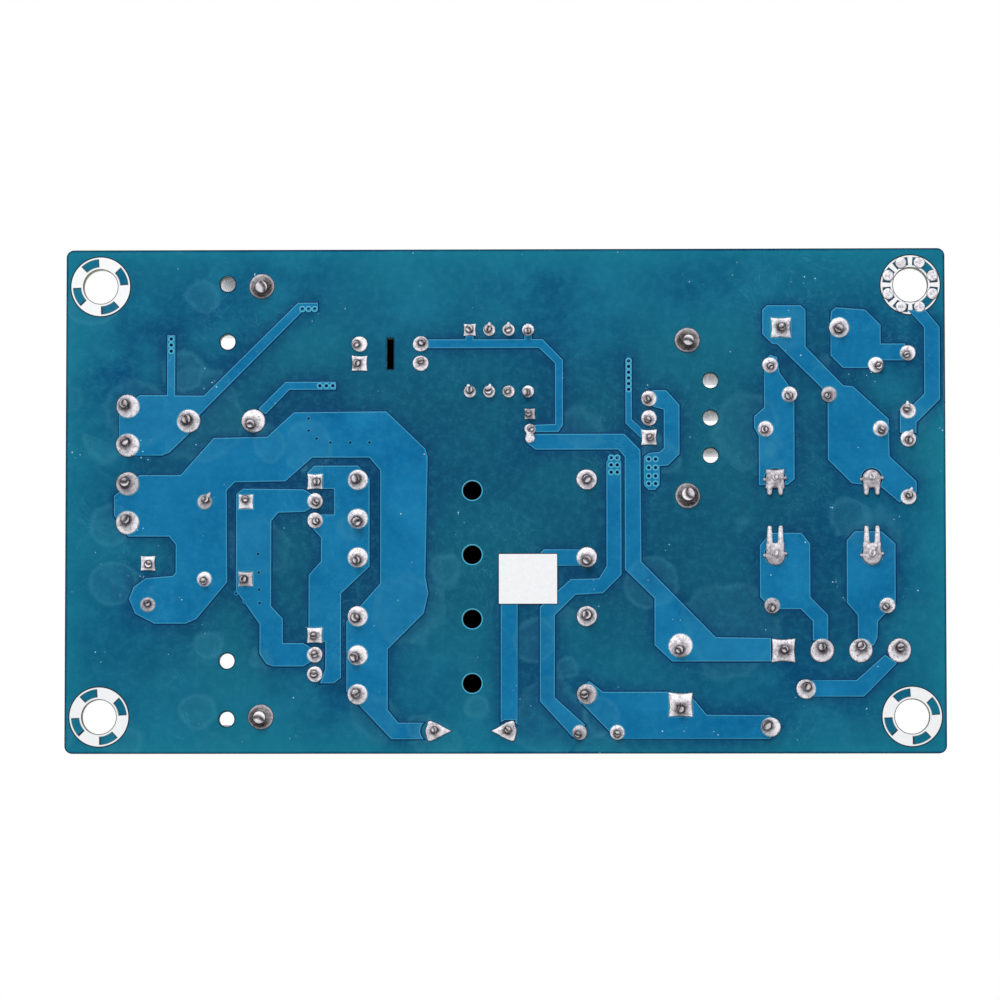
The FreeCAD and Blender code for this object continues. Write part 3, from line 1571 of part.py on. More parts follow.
TRACKS = {
    "output positive": [
        (50.5, 11.9), (47.8, 13.9), (44.2, 13.9), (44.2, 21.6), (43.2, 21.6), (43.2, 13.85),
        (39.4, 13.8), (27.1, 25.7), (24.5, 25.7), (24.5, 24.7), (26.4, 24.7), (39.9, 11.4),
        (41.4, 8.8), (43.9, 6.4), (44.9, 6.0), (49.6, 6.0), (50.5, 7.3),
    ],
    "inductor tail": [
        (32.2, 12.1), (28.7, 15.6), (22.1, 15.6), (22.1, 14.6), (28.2, 14.6), (31.3, 11.4),
    ],
    "output return": [
        (47.8, 3.4), (42.4, 3.4), (38.1, 8.25), (31.1, 8.4), (27.6, 11.6), (15.5, 11.7),
        (10.4, 6.8), (10.1, 5.7), (10.4, -9.9), (10.0, -12.1), (10.6, -14.7), (15.3, -19.4),
        (15.3, -27.3), (13.9, -29.0), (9.8, -29.0), (9.8, -31.1), (14.8, -31.1), (20.65, -24.9),
        (20.65, -15.8), (16.25, -10.8), (16.25, 4.0), (17.7, 5.7), (25.2, 5.7), (28.7, 2.6),
        (35.3, 2.5), (36.4, 1.4), (36.3, -10.6), (40.3, -15.4), (41.7, -16.0), (45.8, -16.0),
        (48.3, -14.7), (49.1, -12.8), (48.5, -11.2), (46.9, -10.1), (43.4, -9.8), (43.0, -9.35),
        (43.0, -5.7), (43.9, -4.6), (49.25, -4.6), (51.1, -1.8), (51.1, 0.7),
    ],
    "rectifier inputs": [
        (25.8, 3.7), (24.9, 4.6), (19.2, 4.6), (17.7, 2.9), (17.7, -8.6), (21.4, -12.1),
        (21.4, -23.1), (22.3, -23.8), (24.1, -23.8), (23.4, -22.0), (23.4, -18.4), (25.6, -18.4),
        (25.6, -9.7), (24.0, -7.9), (24.0, -4.8), (25.2, -3.5), (24.8, -1.8), (22.3, -1.8),
        (22.3, 1.6), (25.8, 1.6),
    ],
    "rectifier outputs": [
        (34.2, 1.6), (26.3, 1.5), (24.8, 0.6), (24.8, -0.6), (26.15, -1.4), (29.6, -1.5),
        (30.55, -2.6), (30.55, -13.75), (29.0, -15.4), (29.0, -18.6), (26.3, -18.6),
        (24.8, -19.5), (24.8, -20.7), (26.3, -21.6), (30.2, -21.6), (31.1, -21.3), (32.0, -20.0),
        (32.0, -16.1), (35.1, -11.7), (35.1, 0.9),
    ],
    "control ground": [
        (11.0, 21.0), (5.1, 21.0), (5.1, 22.4), (4.1, 22.4), (4.1, 21.0), (-2.6, 21.0),
        (-2.6, 22.4), (-3.5, 22.4), (-3.5, 21.0), (-4.95, 21.0), (-7.6, 18.4), (-7.6, 9.9),
        (-7.0, 9.0), (-3.85, 9.0), (-3.85, 9.9), (-6.6, 10.0), (-6.6, 18.0), (-4.5, 19.95),
        (11.0, 19.95),
    ],
    "primary ground": [
        (-3.6, 8.7), (-15.6, 8.7), (-17.7, 6.6), (-17.8, -8.0), (-27.5, -17.9), (-34.65, -18.0),
        (-34.65, -21.0), (-21.8, -21.0), (-19.55, -18.9), (-19.55, -12.8), (-15.7, -9.0),
        (-15.7, 5.7), (-14.85, 6.7), (-4.0, 6.7), (-2.75, 7.7),
    ],
    "drain": [
        (-13.3, 5.0), (-13.8, 5.9), (-14.7, 5.9), (-15.2, 5.0), (-15.2, -9.7), (-12.8, -12.1),
        (-9.2, -12.3), (-6.5, -15.0), (-6.5, -25.7), (-10.45, -29.3), (-8.8, -30.8), (-4.6, -26.2),
        (-4.6, -13.9), (-8.6, -10.3), (-12.3, -10.2), (-13.3, -8.6),
    ],
    "bridging return": [
        (-10.7, -6.4), (-5.1, -6.4), (0.5, -12.0), (0.5, -29.5), (-1.65, -29.5), (-1.65, -12.9),
        (-6.1, -8.5), (-10.7, -8.5),
    ],
    "gate": [
        (-15.8, 18.5), (-16.6, 18.5), (-16.6, 10.6), (-18.3, 9.1), (-17.9, 8.1), (-15.8, 10.1),
    ],
    "source": [
        (-19.1, 14.4), (-21.1, 14.4), (-22.8, 12.5), (-22.8, 6.05), (-21.3, 4.6), (-20.2, 4.5),
        (-20.2, 2.0), (-19.6, 1.4), (-18.8, 1.4), (-18.2, 2.0), (-18.2, 5.7), (-18.9, 6.2),
        (-20.2, 6.3), (-20.8, 6.8), (-20.8, 11.9), (-19.4, 12.3),
    ],
    "line": [
        (-33.7, 24.6), (-34.3, 25.2), (-38.7, 25.2), (-39.3, 24.6), (-39.3, 20.0), (-44.2, 15.0),
        (-45.5, 14.85), (-50.1, 10.6), (-50.2, 5.7), (-53.7, 2.4), (-53.7, 1.0), (-51.5, -0.3),
        (-49.0, 1.8), (-45.3, 2.2), (-42.2, 5.3), (-42.2, 12.8), (-41.4, 14.7), (-35.6, 20.35),
        (-35.0, 20.35), (-33.7, 21.6),
    ],
    "neutral": [
        (-42.7, 24.4), (-43.3, 24.9), (-47.1, 24.6), (-49.1, 22.7), (-49.1, 20.35),
        (-52.3, 20.35), (-52.3, 18.3), (-49.1, 18.3), (-47.3, 17.3), (-44.2, 17.3), (-42.6, 18.9),
        (-42.6, 23.5),
    ],
    "fused neutral": [
        (-33.9, 18.3), (-34.7, 19.0), (-35.6, 18.7), (-35.9, 16.7), (-37.8, 14.0), (-37.8, 2.75),
        (-36.85, 2.0), (-33.2, 2.0), (-33.2, 8.4), (-32.6, 9.5), (-32.6, 11.0), (-33.9, 12.1),
    ],
    "filtered neutral": [
        (-33.3, -5.9), (-34.65, -4.3), (-38.7, -4.3), (-39.8, -5.7), (-39.8, -12.65),
        (-42.1, -15.0), (-42.1, -18.2), (-40.15, -18.3), (-40.15, -15.8), (-38.6, -14.2),
        (-34.8, -14.2), (-33.3, -12.65),
    ],
    "filtered line": [
        (-44.6, -5.3), (-45.65, -4.1), (-49.1, -4.1), (-50.9, -5.7), (-50.9, -13.4),
        (-48.6, -15.8), (-48.5, -18.0), (-48.0, -19.0), (-46.0, -18.3), (-46.0, -15.0),
        (-44.6, -13.4),
    ],
    "bridge positive": [
        (-49.5, -20.2), (-45.8, -23.5), (-39.2, -23.5), (-39.2, -25.6), (-46.75, -25.6),
        (-51.0, -21.3),
    ],
    "bulk positive": [
        (-11.0, -23.6), (-12.8, -25.0), (-21.3, -25.0), (-24.5, -25.85), (-26.3, -28.0),
        (-34.5, -28.05), (-36.0, -29.5), (-34.5, -31.1), (-14.85, -31.1), (-13.6, -30.1),
        (-9.6, -26.0), (-9.6, -24.5),
    ],
    "earth": [
        (-52.8, 24.5), (-54.8, 22.4), (-54.8, 13.9), (-53.4, 12.5), (-51.6, 11.5), (-51.6, 8.8),
        (-53.7, 8.8), (-53.7, 10.1), (-56.8, 13.2), (-56.8, 22.4), (-55.0, 24.5),
    ],
}
tracks = []
for corners in TRACKS.values():
    track = shield([(between(COLUMNS, x), between(ROWS, y)) for x, y in corners], size.track_height)
    under = [item for item in footprints if item.BoundBox.intersect(track.BoundBox)]
    tracks += track.cut(Part.makeCompound(under)).Solids
keep(solids("copper_tracks", tracks), "copper_tracks")

doc.recompute()

# Every object has to be sound before anything is written
for item in doc.Objects:
    if "Invalid" in item.State or "Error" in item.State:
        raise RuntimeError(f"{item.Label} failed: {item.State}")
labels = [item.Label for item in nodes]
if len(set(labels)) != len(labels):
    raise RuntimeError("two nodes share a name")
os.makedirs("parts", exist_ok=True)
for item in nodes:
    shape = item.Shape
    if shape.isNull() or not shape.isValid() or not shape.Solids:
        raise RuntimeError(f"{item.Label} has no sound solid")
    shape.exportStep(f"parts/{item.Label}.step")
print(len(nodes), "nodes,", sum(len(item.Shape.Solids) for item in nodes), "solids")
print("board", round(board_length, 3), "x", round(board_width, 3))
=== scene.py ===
# %% [markdown]
# # Open frame power supply
# The object is a bare circuit board with a mains side, a transformer and an output side. The
# photograph shows its solder side. The board, its parts and its solder are already there as
# exact solids: this lesson dresses them, adds the small forms that solids leave out, and lights
# them. Everything is in metres, in the solids' own frame: the board's underside is z = 0, +Z
# points out of the component side, and the solder hangs below z = 0.

import bpy
import numpy as np
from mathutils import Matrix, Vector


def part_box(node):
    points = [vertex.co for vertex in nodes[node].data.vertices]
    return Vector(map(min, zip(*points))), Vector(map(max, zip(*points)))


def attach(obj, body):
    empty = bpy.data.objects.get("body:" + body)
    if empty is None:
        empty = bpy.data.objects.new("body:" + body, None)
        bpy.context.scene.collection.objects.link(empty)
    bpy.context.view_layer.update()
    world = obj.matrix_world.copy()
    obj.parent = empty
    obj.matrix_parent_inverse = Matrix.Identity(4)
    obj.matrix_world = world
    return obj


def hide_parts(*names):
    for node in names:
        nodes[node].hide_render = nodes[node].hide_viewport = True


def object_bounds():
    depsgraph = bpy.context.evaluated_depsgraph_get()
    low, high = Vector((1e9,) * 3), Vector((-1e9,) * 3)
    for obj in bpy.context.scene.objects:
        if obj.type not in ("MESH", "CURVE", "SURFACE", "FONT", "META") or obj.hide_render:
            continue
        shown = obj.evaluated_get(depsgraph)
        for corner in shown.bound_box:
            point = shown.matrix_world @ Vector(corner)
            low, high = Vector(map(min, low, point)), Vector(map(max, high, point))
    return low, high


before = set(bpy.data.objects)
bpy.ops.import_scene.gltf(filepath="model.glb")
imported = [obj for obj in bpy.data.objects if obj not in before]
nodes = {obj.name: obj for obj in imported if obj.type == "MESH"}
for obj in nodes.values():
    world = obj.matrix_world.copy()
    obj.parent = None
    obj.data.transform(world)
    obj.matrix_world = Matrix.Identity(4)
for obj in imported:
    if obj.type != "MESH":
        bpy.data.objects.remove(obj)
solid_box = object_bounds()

MM = 0.001
print(len(nodes), "solid nodes; box", solid_box)

# %% [markdown]
# ## Putting a surface into Blender
# Every new piece is a grid of points worked out by numpy: rows along one parameter, columns
# along the other. Blender could also model these with primitives and sculpting, but a formula is
# exact, repeatable and quick to change. One helper joins neighbouring grid points into four
# sided faces, and another makes the mesh and its object.


# %% Grid helpers
def quads(rows, columns, wrapped=False):
    """Faces of a rows x columns grid: each joins a point, its right neighbour and the two above."""
    across = np.arange(columns if wrapped else columns - 1)
    up = np.arange(rows - 1)[:, None]
    right = (across + 1) % columns
    corners = [up * columns + across, up * columns + right,
               (up + 1) * columns + right, (up + 1) * columns + across]
    return np.stack(corners, axis=-1).reshape(-1, 4)


def flatten(grids, wrapped=False, turned=False):
    """Points and faces of a stack of equal grids, (pieces, rows, columns, 3)."""
    pieces, rows, columns, _ = grids.shape
    one = quads(rows, columns, wrapped)
    if turned:
        one = one[:, ::-1]
    start = np.arange(pieces)[:, None, None] * rows * columns
    return grids.reshape(-1, 3), (one[None] + start).reshape(-1, 4)


def piece(name, points, faces, finish, smooth=True, marks=None, instead_of=()):
    """A mesh object made of points and faces, with its finish and the nodes it stands for.

    marks is a table of point attributes by name, each a number from 0 to 1 a point.
    """
    mesh = bpy.data.meshes.new(name)
    mesh.from_pydata(np.asarray(points).tolist(), [], np.asarray(faces).tolist())
    mesh.polygons.foreach_set("use_smooth", np.full(len(mesh.polygons), smooth))
    for mark, values in (marks or {}).items():
        layer = mesh.attributes.new(mark, "FLOAT", "POINT")
        layer.data.foreach_set("value", np.asarray(values, np.float32).ravel())
    mesh.materials.append(finish)
    mesh.update()
    item = bpy.data.objects.new(name, mesh)
    bpy.context.scene.collection.objects.link(item)
    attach(item, "root")
    if instead_of:
        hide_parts(*instead_of)
    print(name, len(mesh.vertices), "points", len(mesh.polygons), "faces")
    return item


# %% [markdown]
# ## Reading places from the solids
# A solder joint has to sit exactly on its pin. Each joint is a separate solid inside one node, so
# the node's triangles are sorted into islands that share points, and every island gives the
# middle of its tip and the radius of its foot. Typing the places in by hand would work too, but
# they would go wrong as soon as a size in the solids changes.


# %% Islands of a node
def welded(node, digits):
    """A node's points, rounded and with equal ones merged, and its triangles in rows of three."""
    mesh = nodes[node].data
    points = np.empty(len(mesh.vertices) * 3, np.float32)
    mesh.vertices.foreach_get("co", points)
    corners = np.empty(len(mesh.loops), np.int32)
    mesh.loops.foreach_get("vertex_index", corners)
    keys, same = np.unique(np.round(points.reshape(-1, 3), digits), axis=0, return_inverse=True)
    return keys, same.ravel()[corners].reshape(-1, 3)


def islands(node):
    """The point sets of a node's separate solids.

    Each point takes the lowest number among its triangle's corners, over and over, until every
    solid carries one number.
    """
    keys, triangles = welded(node, 6)
    label = np.arange(len(keys))
    while True:
        before = label.copy()
        np.minimum.at(label, triangles.ravel(), np.repeat(label[triangles].min(axis=1), 3))
        label = label[label]
        if (label == before).all():
            break
    return [keys[label == mark] for mark in np.unique(label)]


# %% [markdown]
# A joint's lowest points are the end of its wire, and their mean is the middle of the joint. The
# points beside the board show how wide its foot is.


# %% Feet of the joints
# How far from the tip and from the board a point may lie and still count as one of theirs
TIP_BAND, BOARD_BAND = 0.05 * MM, 0.01 * MM


def feet(node):
    """For each joint of a node: the middle of its lowest points, its foot's radius, its depth."""
    found = []
    for points in islands(node):
        lowest = points[:, 2] < points[:, 2].min() + TIP_BAND
        middle = points[lowest, :2].mean(axis=0)
        foot = points[points[:, 2] > -BOARD_BAND, :2]
        found.append([*middle, np.abs(foot - middle).max(axis=0).min(), -points[:, 2].min()])
    return np.array(found)


power_feet = feet("power_joints")
signal_feet = feet("signal_joints")
square_feet = feet("square_joints")
print("joints:", len(power_feet), "power,", len(signal_feet), "signal,", len(square_feet), "square")

# %% [markdown]
# ## Finishes from nodes
# A finish is a Principled shader whose colour, roughness and bump come from noise in the piece's
# own coordinates, so it stays put when the camera moves. A picture texture would be simpler, but
# it blurs close up and needs a flattened map. A small class keeps the wiring short: each method
# adds one node and returns its output.


# %% Finish builder
class Finish:
    """A material under construction, with short methods for the nodes used here."""

    def __init__(self, name, **sockets):
        """A new material, with sockets of its shader set by name to plain values."""
        self.material = bpy.data.materials.new(name)
        self.material.use_nodes = True
        self.tree = self.material.node_tree
        self.shader = self.tree.nodes["Principled BSDF"]
        self.place = self.add("ShaderNodeTexCoord").outputs["Object"]
        self.bumps = None
        for socket, value in sockets.items():
            self.shader.inputs[socket.replace("_", " ")].default_value = value

    def add(self, kind, **settings):
        """A new node of a kind, with settings of its own."""
        node = self.tree.nodes.new(kind)
        for setting, value in settings.items():
            setattr(node, setting, value)
        return node

    def feed(self, node, socket, value):
        """Link an output to a socket, or set a plain number or colour on it."""
        if isinstance(value, bpy.types.NodeSocket):
            self.tree.links.new(value, node.inputs[socket])
        else:
            node.inputs[socket].default_value = value

    def stretched(self, x, y, z):
        """Coordinates scaled by a factor along each axis."""
        mapping = self.add("ShaderNodeMapping")
        self.feed(mapping, "Vector", self.place)
        mapping.inputs["Scale"].default_value = (x, y, z)
        return mapping.outputs["Vector"]

    def noise(self, size_mm, detail=3.0, where=None, rough=0.55, twist=0.0):
        """Cloudy noise whose clouds are about size_mm across."""
        node = self.add("ShaderNodeTexNoise")
        self.feed(node, "Vector", where or self.place)
        node.inputs["Scale"].default_value = 1000.0 / size_mm
        node.inputs["Detail"].default_value = detail
        node.inputs["Roughness"].default_value = rough
        node.inputs["Distortion"].default_value = twist
        return node.outputs["Fac"]

    def cells(self, size_mm, where):
        """Random points about size_mm apart: the distance to the nearest, and its random colour."""
        node = self.add("ShaderNodeTexVoronoi")
        self.feed(node, "Vector", where)
        node.inputs["Scale"].default_value = 1000.0 / size_mm
        return node.outputs["Distance"], node.outputs["Color"]

    def spread(self, value, low, high, to_low=0.0, to_high=1.0):
        """Stretch a range of values onto another, held at its ends."""
        node = self.add("ShaderNodeMapRange")
        for socket, number in zip((1, 2, 3, 4), (low, high, to_low, to_high)):
            node.inputs[socket].default_value = number
        self.feed(node, 0, value)
        return node.outputs[0]

    def ring(self, value, middle, width):
        """One where the value is near the middle of a band, falling to zero at its edges."""
        away = self.sum("SUBTRACT", value, middle)
        return self.spread(self.sum("ABSOLUTE", away), 0.0, width, 1.0, 0.0)

    def sum(self, operation, first, second=0.0):
        """One step of arithmetic on two values."""
        node = self.add("ShaderNodeMath", operation=operation)
        self.feed(node, 0, first)
        self.feed(node, 1, second)
        return node.outputs[0]

    def mix(self, amount, first, second):
        """Blend two colours by an amount from 0 to 1."""
        node = self.add("ShaderNodeMix", data_type="RGBA")
        self.feed(node, 0, amount)
        self.feed(node, 6, tint(first) if isinstance(first, tuple) else first)
        self.feed(node, 7, tint(second) if isinstance(second, tuple) else second)
        return node.outputs[2]

    def mark(self, name):
        """A point attribute of the mesh, zero where the mesh has none."""
        return self.add("ShaderNodeAttribute", attribute_name=name).outputs["Fac"]

    def upright(self):
        """The upward share of the surface's own direction, from -1 to 1."""
        axes = self.add("ShaderNodeSeparateXYZ")
        self.feed(axes, 0, self.add("ShaderNodeNewGeometry").outputs["True Normal"])
        return axes.outputs["Z"]

    def bump(self, height, depth_mm):
        """Add a relief of so many millimetres to the ones before it."""
        node = self.add("ShaderNodeBump")
        node.inputs["Strength"].default_value = 1.0
        node.inputs["Distance"].default_value = depth_mm * MM
        self.feed(node, "Height", height)
        if self.bumps is not None:
            self.feed(node, "Normal", self.bumps)
        self.bumps = node.outputs["Normal"]
        self.feed(self.shader, "Normal", self.bumps)

    def done(self, colour, rough):
        """Give the shader its colour and roughness, and hand over the material."""
        self.feed(self.shader, "Base Color", colour)
        self.feed(self.shader, "Roughness", rough)
        return self.material


def tint(colour):
    """A colour typed as 0..255 screen values, as Blender's linear light with full cover."""
    level = np.asarray(colour[:3], float) / 255.0
    light = np.where(level <= 0.04045, level / 12.92, ((level + 0.055) / 1.055) ** 2.4)
    return (*light.tolist(), 1.0)


# %% [markdown]
# ## The solder mask
# The board is coated with a blue lacquer, the solder mask. It is navy beside the copper, teal
# where bare laminate lies below it, and carries cloudy stains, faint round marks of dried flux
# and a few pale specks. Over copper the same lacquer looks brighter. A painted picture could hold
# all this, but noise gives it at any size, and one function keeps both coats alike.


# %% Lacquer
# Rounds of dried flux, in two sizes: how far apart in mm, the least and the most reach as shares of
# that, and how much paler the rim and the inside are
STAINS = ((9.0, 0.12, 0.4, 0.17, 0.09), (14.0, 0.2, 0.46, 0.13, 0.07))


def stained(coat, colour, where, clouds):
    """A colour with rounds of dried flux: a paler band and a faint pool round random points.

    The edge lies where the distance to the point, made uneven by clouds, equals the reach.
    """
    for apart, least, most, rim_share, pool_share in STAINS:
        distance, chances = coat.cells(apart, where)
        chance = coat.add("ShaderNodeSeparateColor")
        coat.feed(chance, 0, chances)
        reach = coat.spread(chance.outputs[0], 0.0, 1.0, least, most)
        uneven = coat.spread(clouds, 0.0, 1.0, -0.22, 0.22)
        away = coat.sum("ADD", coat.sum("SUBTRACT", distance, reach), uneven)
        rims = coat.spread(coat.sum("ABSOLUTE", away), 0.0, 0.05, rim_share, 0.0)
        pools = coat.spread(away, -0.05, 0.03, pool_share, 0.0)
        wet = coat.spread(chance.outputs[1], 0.4, 0.6)
        amount = coat.sum("MULTIPLY", coat.sum("ADD", rims, pools), wet)
        colour = coat.mix(amount, colour, (70, 152, 176))
    return colour


def lacquer(name, over_copper):
    """Solder mask over bare laminate or over copper, left open for more to be added.

    The laminate's marks say how far in, how near the rim and how near copper a point lies.
    """
    coat = Finish(name, Specular_IOR_Level=0.05)
    flat = coat.stretched(1.0, 1.0, 0.0)
    clouds = coat.noise(8.0, 6.0, where=flat, rough=0.62)
    patches = coat.noise(26.0, 3.0, where=flat, rough=0.5)
    fine = coat.noise(1.1, 6.0, where=flat, rough=0.7)
    if over_copper:
        colour = coat.mix(coat.spread(clouds, 0.34, 0.66), (0, 96, 146), (22, 122, 170))
        colour = coat.mix(coat.spread(patches, 0.4, 0.6, 0.0, 0.5), colour, (16, 112, 158))
        pits = coat.spread(coat.cells(3.1, flat)[0], 0.045, 0.06, 1.0, 0.0)
        pitted = coat.spread(coat.noise(9.0, 2.0, where=flat), 0.56, 0.6, 0.0, 0.75)
        colour = coat.mix(coat.sum("MULTIPLY", pits, pitted), colour, (8, 62, 108))
        lighter = (40, 132, 176)
    else:
        colour = coat.mix(coat.spread(patches, 0.38, 0.6), (0, 72, 114), (18, 105, 130))
        colour = coat.mix(coat.spread(clouds, 0.46, 0.68, 0.0, 0.85), colour, (22, 112, 142))
        colour = coat.mix(coat.mark("far_in"), colour, (14, 80, 104))
        colour = coat.mix(coat.mark("near_rim"), colour, (20, 120, 142))
        colour = coat.mix(coat.mark("near_copper"), colour, (6, 56, 98))
        lighter = (36, 122, 150)
    colour = coat.mix(coat.spread(fine, 0.46, 0.64, 0.0, 0.26), colour, lighter)
    colour = stained(coat, colour, flat, clouds)
    veins = coat.noise(6.0, 4.0, where=flat, rough=0.6, twist=1.6)
    faint = coat.spread(coat.noise(16.0, 2.0, where=flat), 0.5, 0.62, 0.0, 0.22)
    vein = coat.sum("MULTIPLY", coat.ring(veins, 0.5, 0.012), faint)
    colour = coat.mix(vein, colour, (70, 148, 170))
    dots = coat.spread(coat.cells(0.75, flat)[0], 0.1, 0.14, 1.0, 0.0)
    dusty = coat.spread(coat.noise(4.5, 3.0, where=flat, rough=0.6), 0.61, 0.66)
    coat.colour = coat.mix(coat.sum("MULTIPLY", dots, dusty), colour, (176, 216, 228))
    coat.bump(fine, 0.012)
    coat.bump(clouds, 0.05)
    coat.gloss = coat.spread(fine, 0.3, 0.7, 0.28, 0.48)
    return coat


open_mask = lacquer("mask_over_laminate", False)
# Painted shade: a dark band along the board's outer edge.
mask_colour = open_mask.mix(open_mask.mark("painted_rim_shade_and_ink_outline"), open_mask.colour, (8, 32, 52))
mask_finish = open_mask.done(mask_colour, open_mask.gloss)
copper_coat = lacquer("mask_over_copper", True)
# The copper's edges get a painted highlight with painted shadow beside them; the same marks give
# the plated holes their pale ring and dark dot.
edge_colour = copper_coat.mix(copper_coat.mark("painted_highlight_and_pale_ring"), copper_coat.colour, (84, 176, 204))
edge_colour = copper_coat.mix(copper_coat.mark("painted_shade_and_via_dot"), edge_colour, (6, 44, 84))
copper_finish = copper_coat.done(edge_colour, copper_coat.gloss)
print("two lacquers")

# %% [markdown]
# ## The board itself
# Seen from its edge a board shows its laminate: pale glass fibre in thin layers, with the mask
# only on the two faces. The faces and the edge belong to one solid, so one finish tells them
# apart by the surface's own direction: level faces get the lacquer, upright ones the laminate.


# %% Board finish
def board_coat():
    """Lacquer on level faces, layered laminate on upright ones."""
    coat = lacquer("board_faces_and_edges", False)
    layers = coat.noise(3.0, 3.0, where=coat.stretched(0.25, 0.25, 14.0))
    laminate = coat.mix(layers, (96, 112, 84), (168, 174, 132))
    level = coat.spread(coat.sum("ABSOLUTE", coat.upright()), 0.4, 0.6)
    return coat.done(coat.mix(level, laminate, coat.colour), coat.gloss)


def dress(finish, *node_names):
    """Give nodes a finish."""
    for node_name in node_names:
        nodes[node_name].data.materials[0] = finish


dress(board_coat(), "circuit_board")
dress(copper_finish, "copper_tracks")
board_low, board_high = (np.array(corner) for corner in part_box("circuit_board"))
print("board", (board_high - board_low) / MM, "mm")

# %% [markdown]
# ## Edges of the copper
# Copper under lacquer has soft edges where the lacquer flows over the step. A fine pale line along
# the top of each edge is a painted highlight, and a navy line outside it is a painted shadow. The
# solid has a sharp step, so a narrow ribbon with a rounded section runs along every edge. The
# edges are those sides of the flat copper faces that only one triangle uses.


# %% Outlines of a flat face
LEVEL_BAND = 0.005 * MM


def outlines(node, level):
    """The outline of a node's flat faces at a level: points, directed edges and joined corners.

    An edge belongs to the outline if no other triangle uses it the other way round. Each point's
    corner direction is the sum of its two edges' outward normals, lengthened to keep the width.
    """
    keys, triangles = welded(node, 7)
    flat = (np.abs(keys[triangles][:, :, 2] - level) < LEVEL_BAND).all(axis=1)
    triangles = triangles[flat]
    edges = np.concatenate([triangles[:, [0, 1]], triangles[:, [1, 2]], triangles[:, [2, 0]]])
    forward = edges[:, 0].astype(np.int64) * len(keys) + edges[:, 1]
    backward = edges[:, 1].astype(np.int64) * len(keys) + edges[:, 0]
    edges = edges[~np.isin(forward, backward)]
    run = keys[edges[:, 1], :2] - keys[edges[:, 0], :2]
    length = np.linalg.norm(run, axis=1, keepdims=True)
    # Seen from above, a face that looks down has its material to the right of each edge
    outward = np.stack([-run[:, 1], run[:, 0]], axis=1) / length
    corner = np.zeros((len(keys), 2))
    np.add.at(corner, edges[:, 0], outward)
    np.add.at(corner, edges[:, 1], outward)
    corner *= 2.0 / np.maximum((corner**2).sum(axis=1, keepdims=True), 0.9)
    return keys[:, :2], edges, corner


def ribbon(outline, offsets, levels):
    """A strip along each edge: points moved by an offset across it and hung at a level, in mm."""
    points, edges, corners = outline
    across = np.asarray(offsets)[None, :, None] * MM
    ends = points[edges][:, :, None, :] + corners[edges][:, :, None, :] * across[None]
    depth = np.broadcast_to(np.asarray(levels)[None, None, :, None] * MM, (*ends.shape[:3], 1))
    return np.concatenate([ends, depth], axis=-1)


def edging(name, outline, finish, rows):
    """A ribbon piece from rows of (offset, level, painted highlight, painted shade)."""
    table = np.array(rows)
    strips = ribbon(outline, table[:, 0], table[:, 1])
    points, faces = flatten(strips)
    marks = {
        mark: np.broadcast_to(table[:, column], strips.shape[:3])
        for mark, column in (("painted_highlight_and_pale_ring", 2), ("painted_shade_and_via_dot", 3), ("painted_rim_shade_and_ink_outline", 3))
    }
    return piece(name, points, faces, finish, marks=marks)


COPPER_MM = 0.1
track_outline = outlines("copper_tracks", -COPPER_MM * MM)
board_outline = outlines("circuit_board", 0.0)
# Painted shadow outside the copper's edge, painted highlight along its top.
edging("track_edges", track_outline, copper_finish, [
    (0.26, -0.012, 0.0, 0.55), (0.12, -0.02, 0.0, 1.0), (0.06, -0.04, 0.0, 1.0),
    (0.03, -0.07, 0.1, 0.4), (0.0, -0.1, 0.55, 0.0), (-0.05, -0.112, 0.6, 0.0),
    (-0.10, -0.112, 0.15, 0.0), (-0.16, -0.106, 0.0, 0.0),
])
# Painted shade along the board's outer edge.
edging("board_rims", board_outline, mask_finish, [
    (0.0, 0.0, 0.0, 1.0), (-0.05, -0.006, 0.0, 1.0), (-0.10, -0.009, 0.0, 0.8),
    (-0.16, -0.01, 0.0, 0.25), (-0.24, -0.004, 0.0, 0.0),
])

# %% [markdown]
# ## The lacquer between the tracks
# Near copper the mask looks navy, further out it turns teal. That tone depends on the distance to
# the nearest copper, which a shader cannot measure, so a thin skin of lacquer just below the
# board carries the distance as a point attribute. Its grid leaves out the holes and the edge.


# %% Distances from an outline
# Edges are taken so many at a time, which keeps the tables small
CHUNK = 64


def distance_to(outline, spots):
    """The shortest distance from each spot to any edge: to its nearest point between the ends."""
    points, edges, _ = outline
    start = points[edges[:, 0]]
    run = points[edges[:, 1]] - start
    squared = (run**2).sum(axis=1)
    nearest = np.full(len(spots), np.inf)
    for first in range(0, len(edges), CHUNK):
        part = slice(first, first + CHUNK)
        from_start = spots[:, None, :] - start[None, part]
        along = np.clip((from_start * run[None, part]).sum(-1) / squared[part], 0.0, 1.0)
        gap = from_start - along[..., None] * run[None, part]
        nearest = np.minimum(nearest, np.sqrt((gap**2).sum(-1)).min(axis=1))
    return nearest


def inside(outline, spots):
    """Whether a spot lies inside: a ray to its right crosses the outline an odd number of times."""
    points, edges, _ = outline
    start, end = points[edges[:, 0]], points[edges[:, 1]]
    crossings = np.zeros(len(spots), int)
    for first in range(0, len(edges), CHUNK):
        low, high = start[first:first + CHUNK], end[first:first + CHUNK]
        passes = (low[None, :, 1] > spots[:, None, 1]) != (high[None, :, 1] > spots[:, None, 1])
        rise = np.where(high[:, 1] == low[:, 1], 1.0, high[:, 1] - low[:, 1])
        slope = (high[:, 0] - low[:, 0]) / rise
        at = low[None, :, 0] + (spots[:, None, 1] - low[None, :, 1]) * slope[None]
        crossings += (passes & (at > spots[:, None, 0])).sum(axis=1)
    return crossings % 2 == 1


# %% [markdown]
# The skin's grid spans the whole board. At each point the distance to the copper is averaged over
# a small window, since the mask looks darkest where it is closed in on all sides.


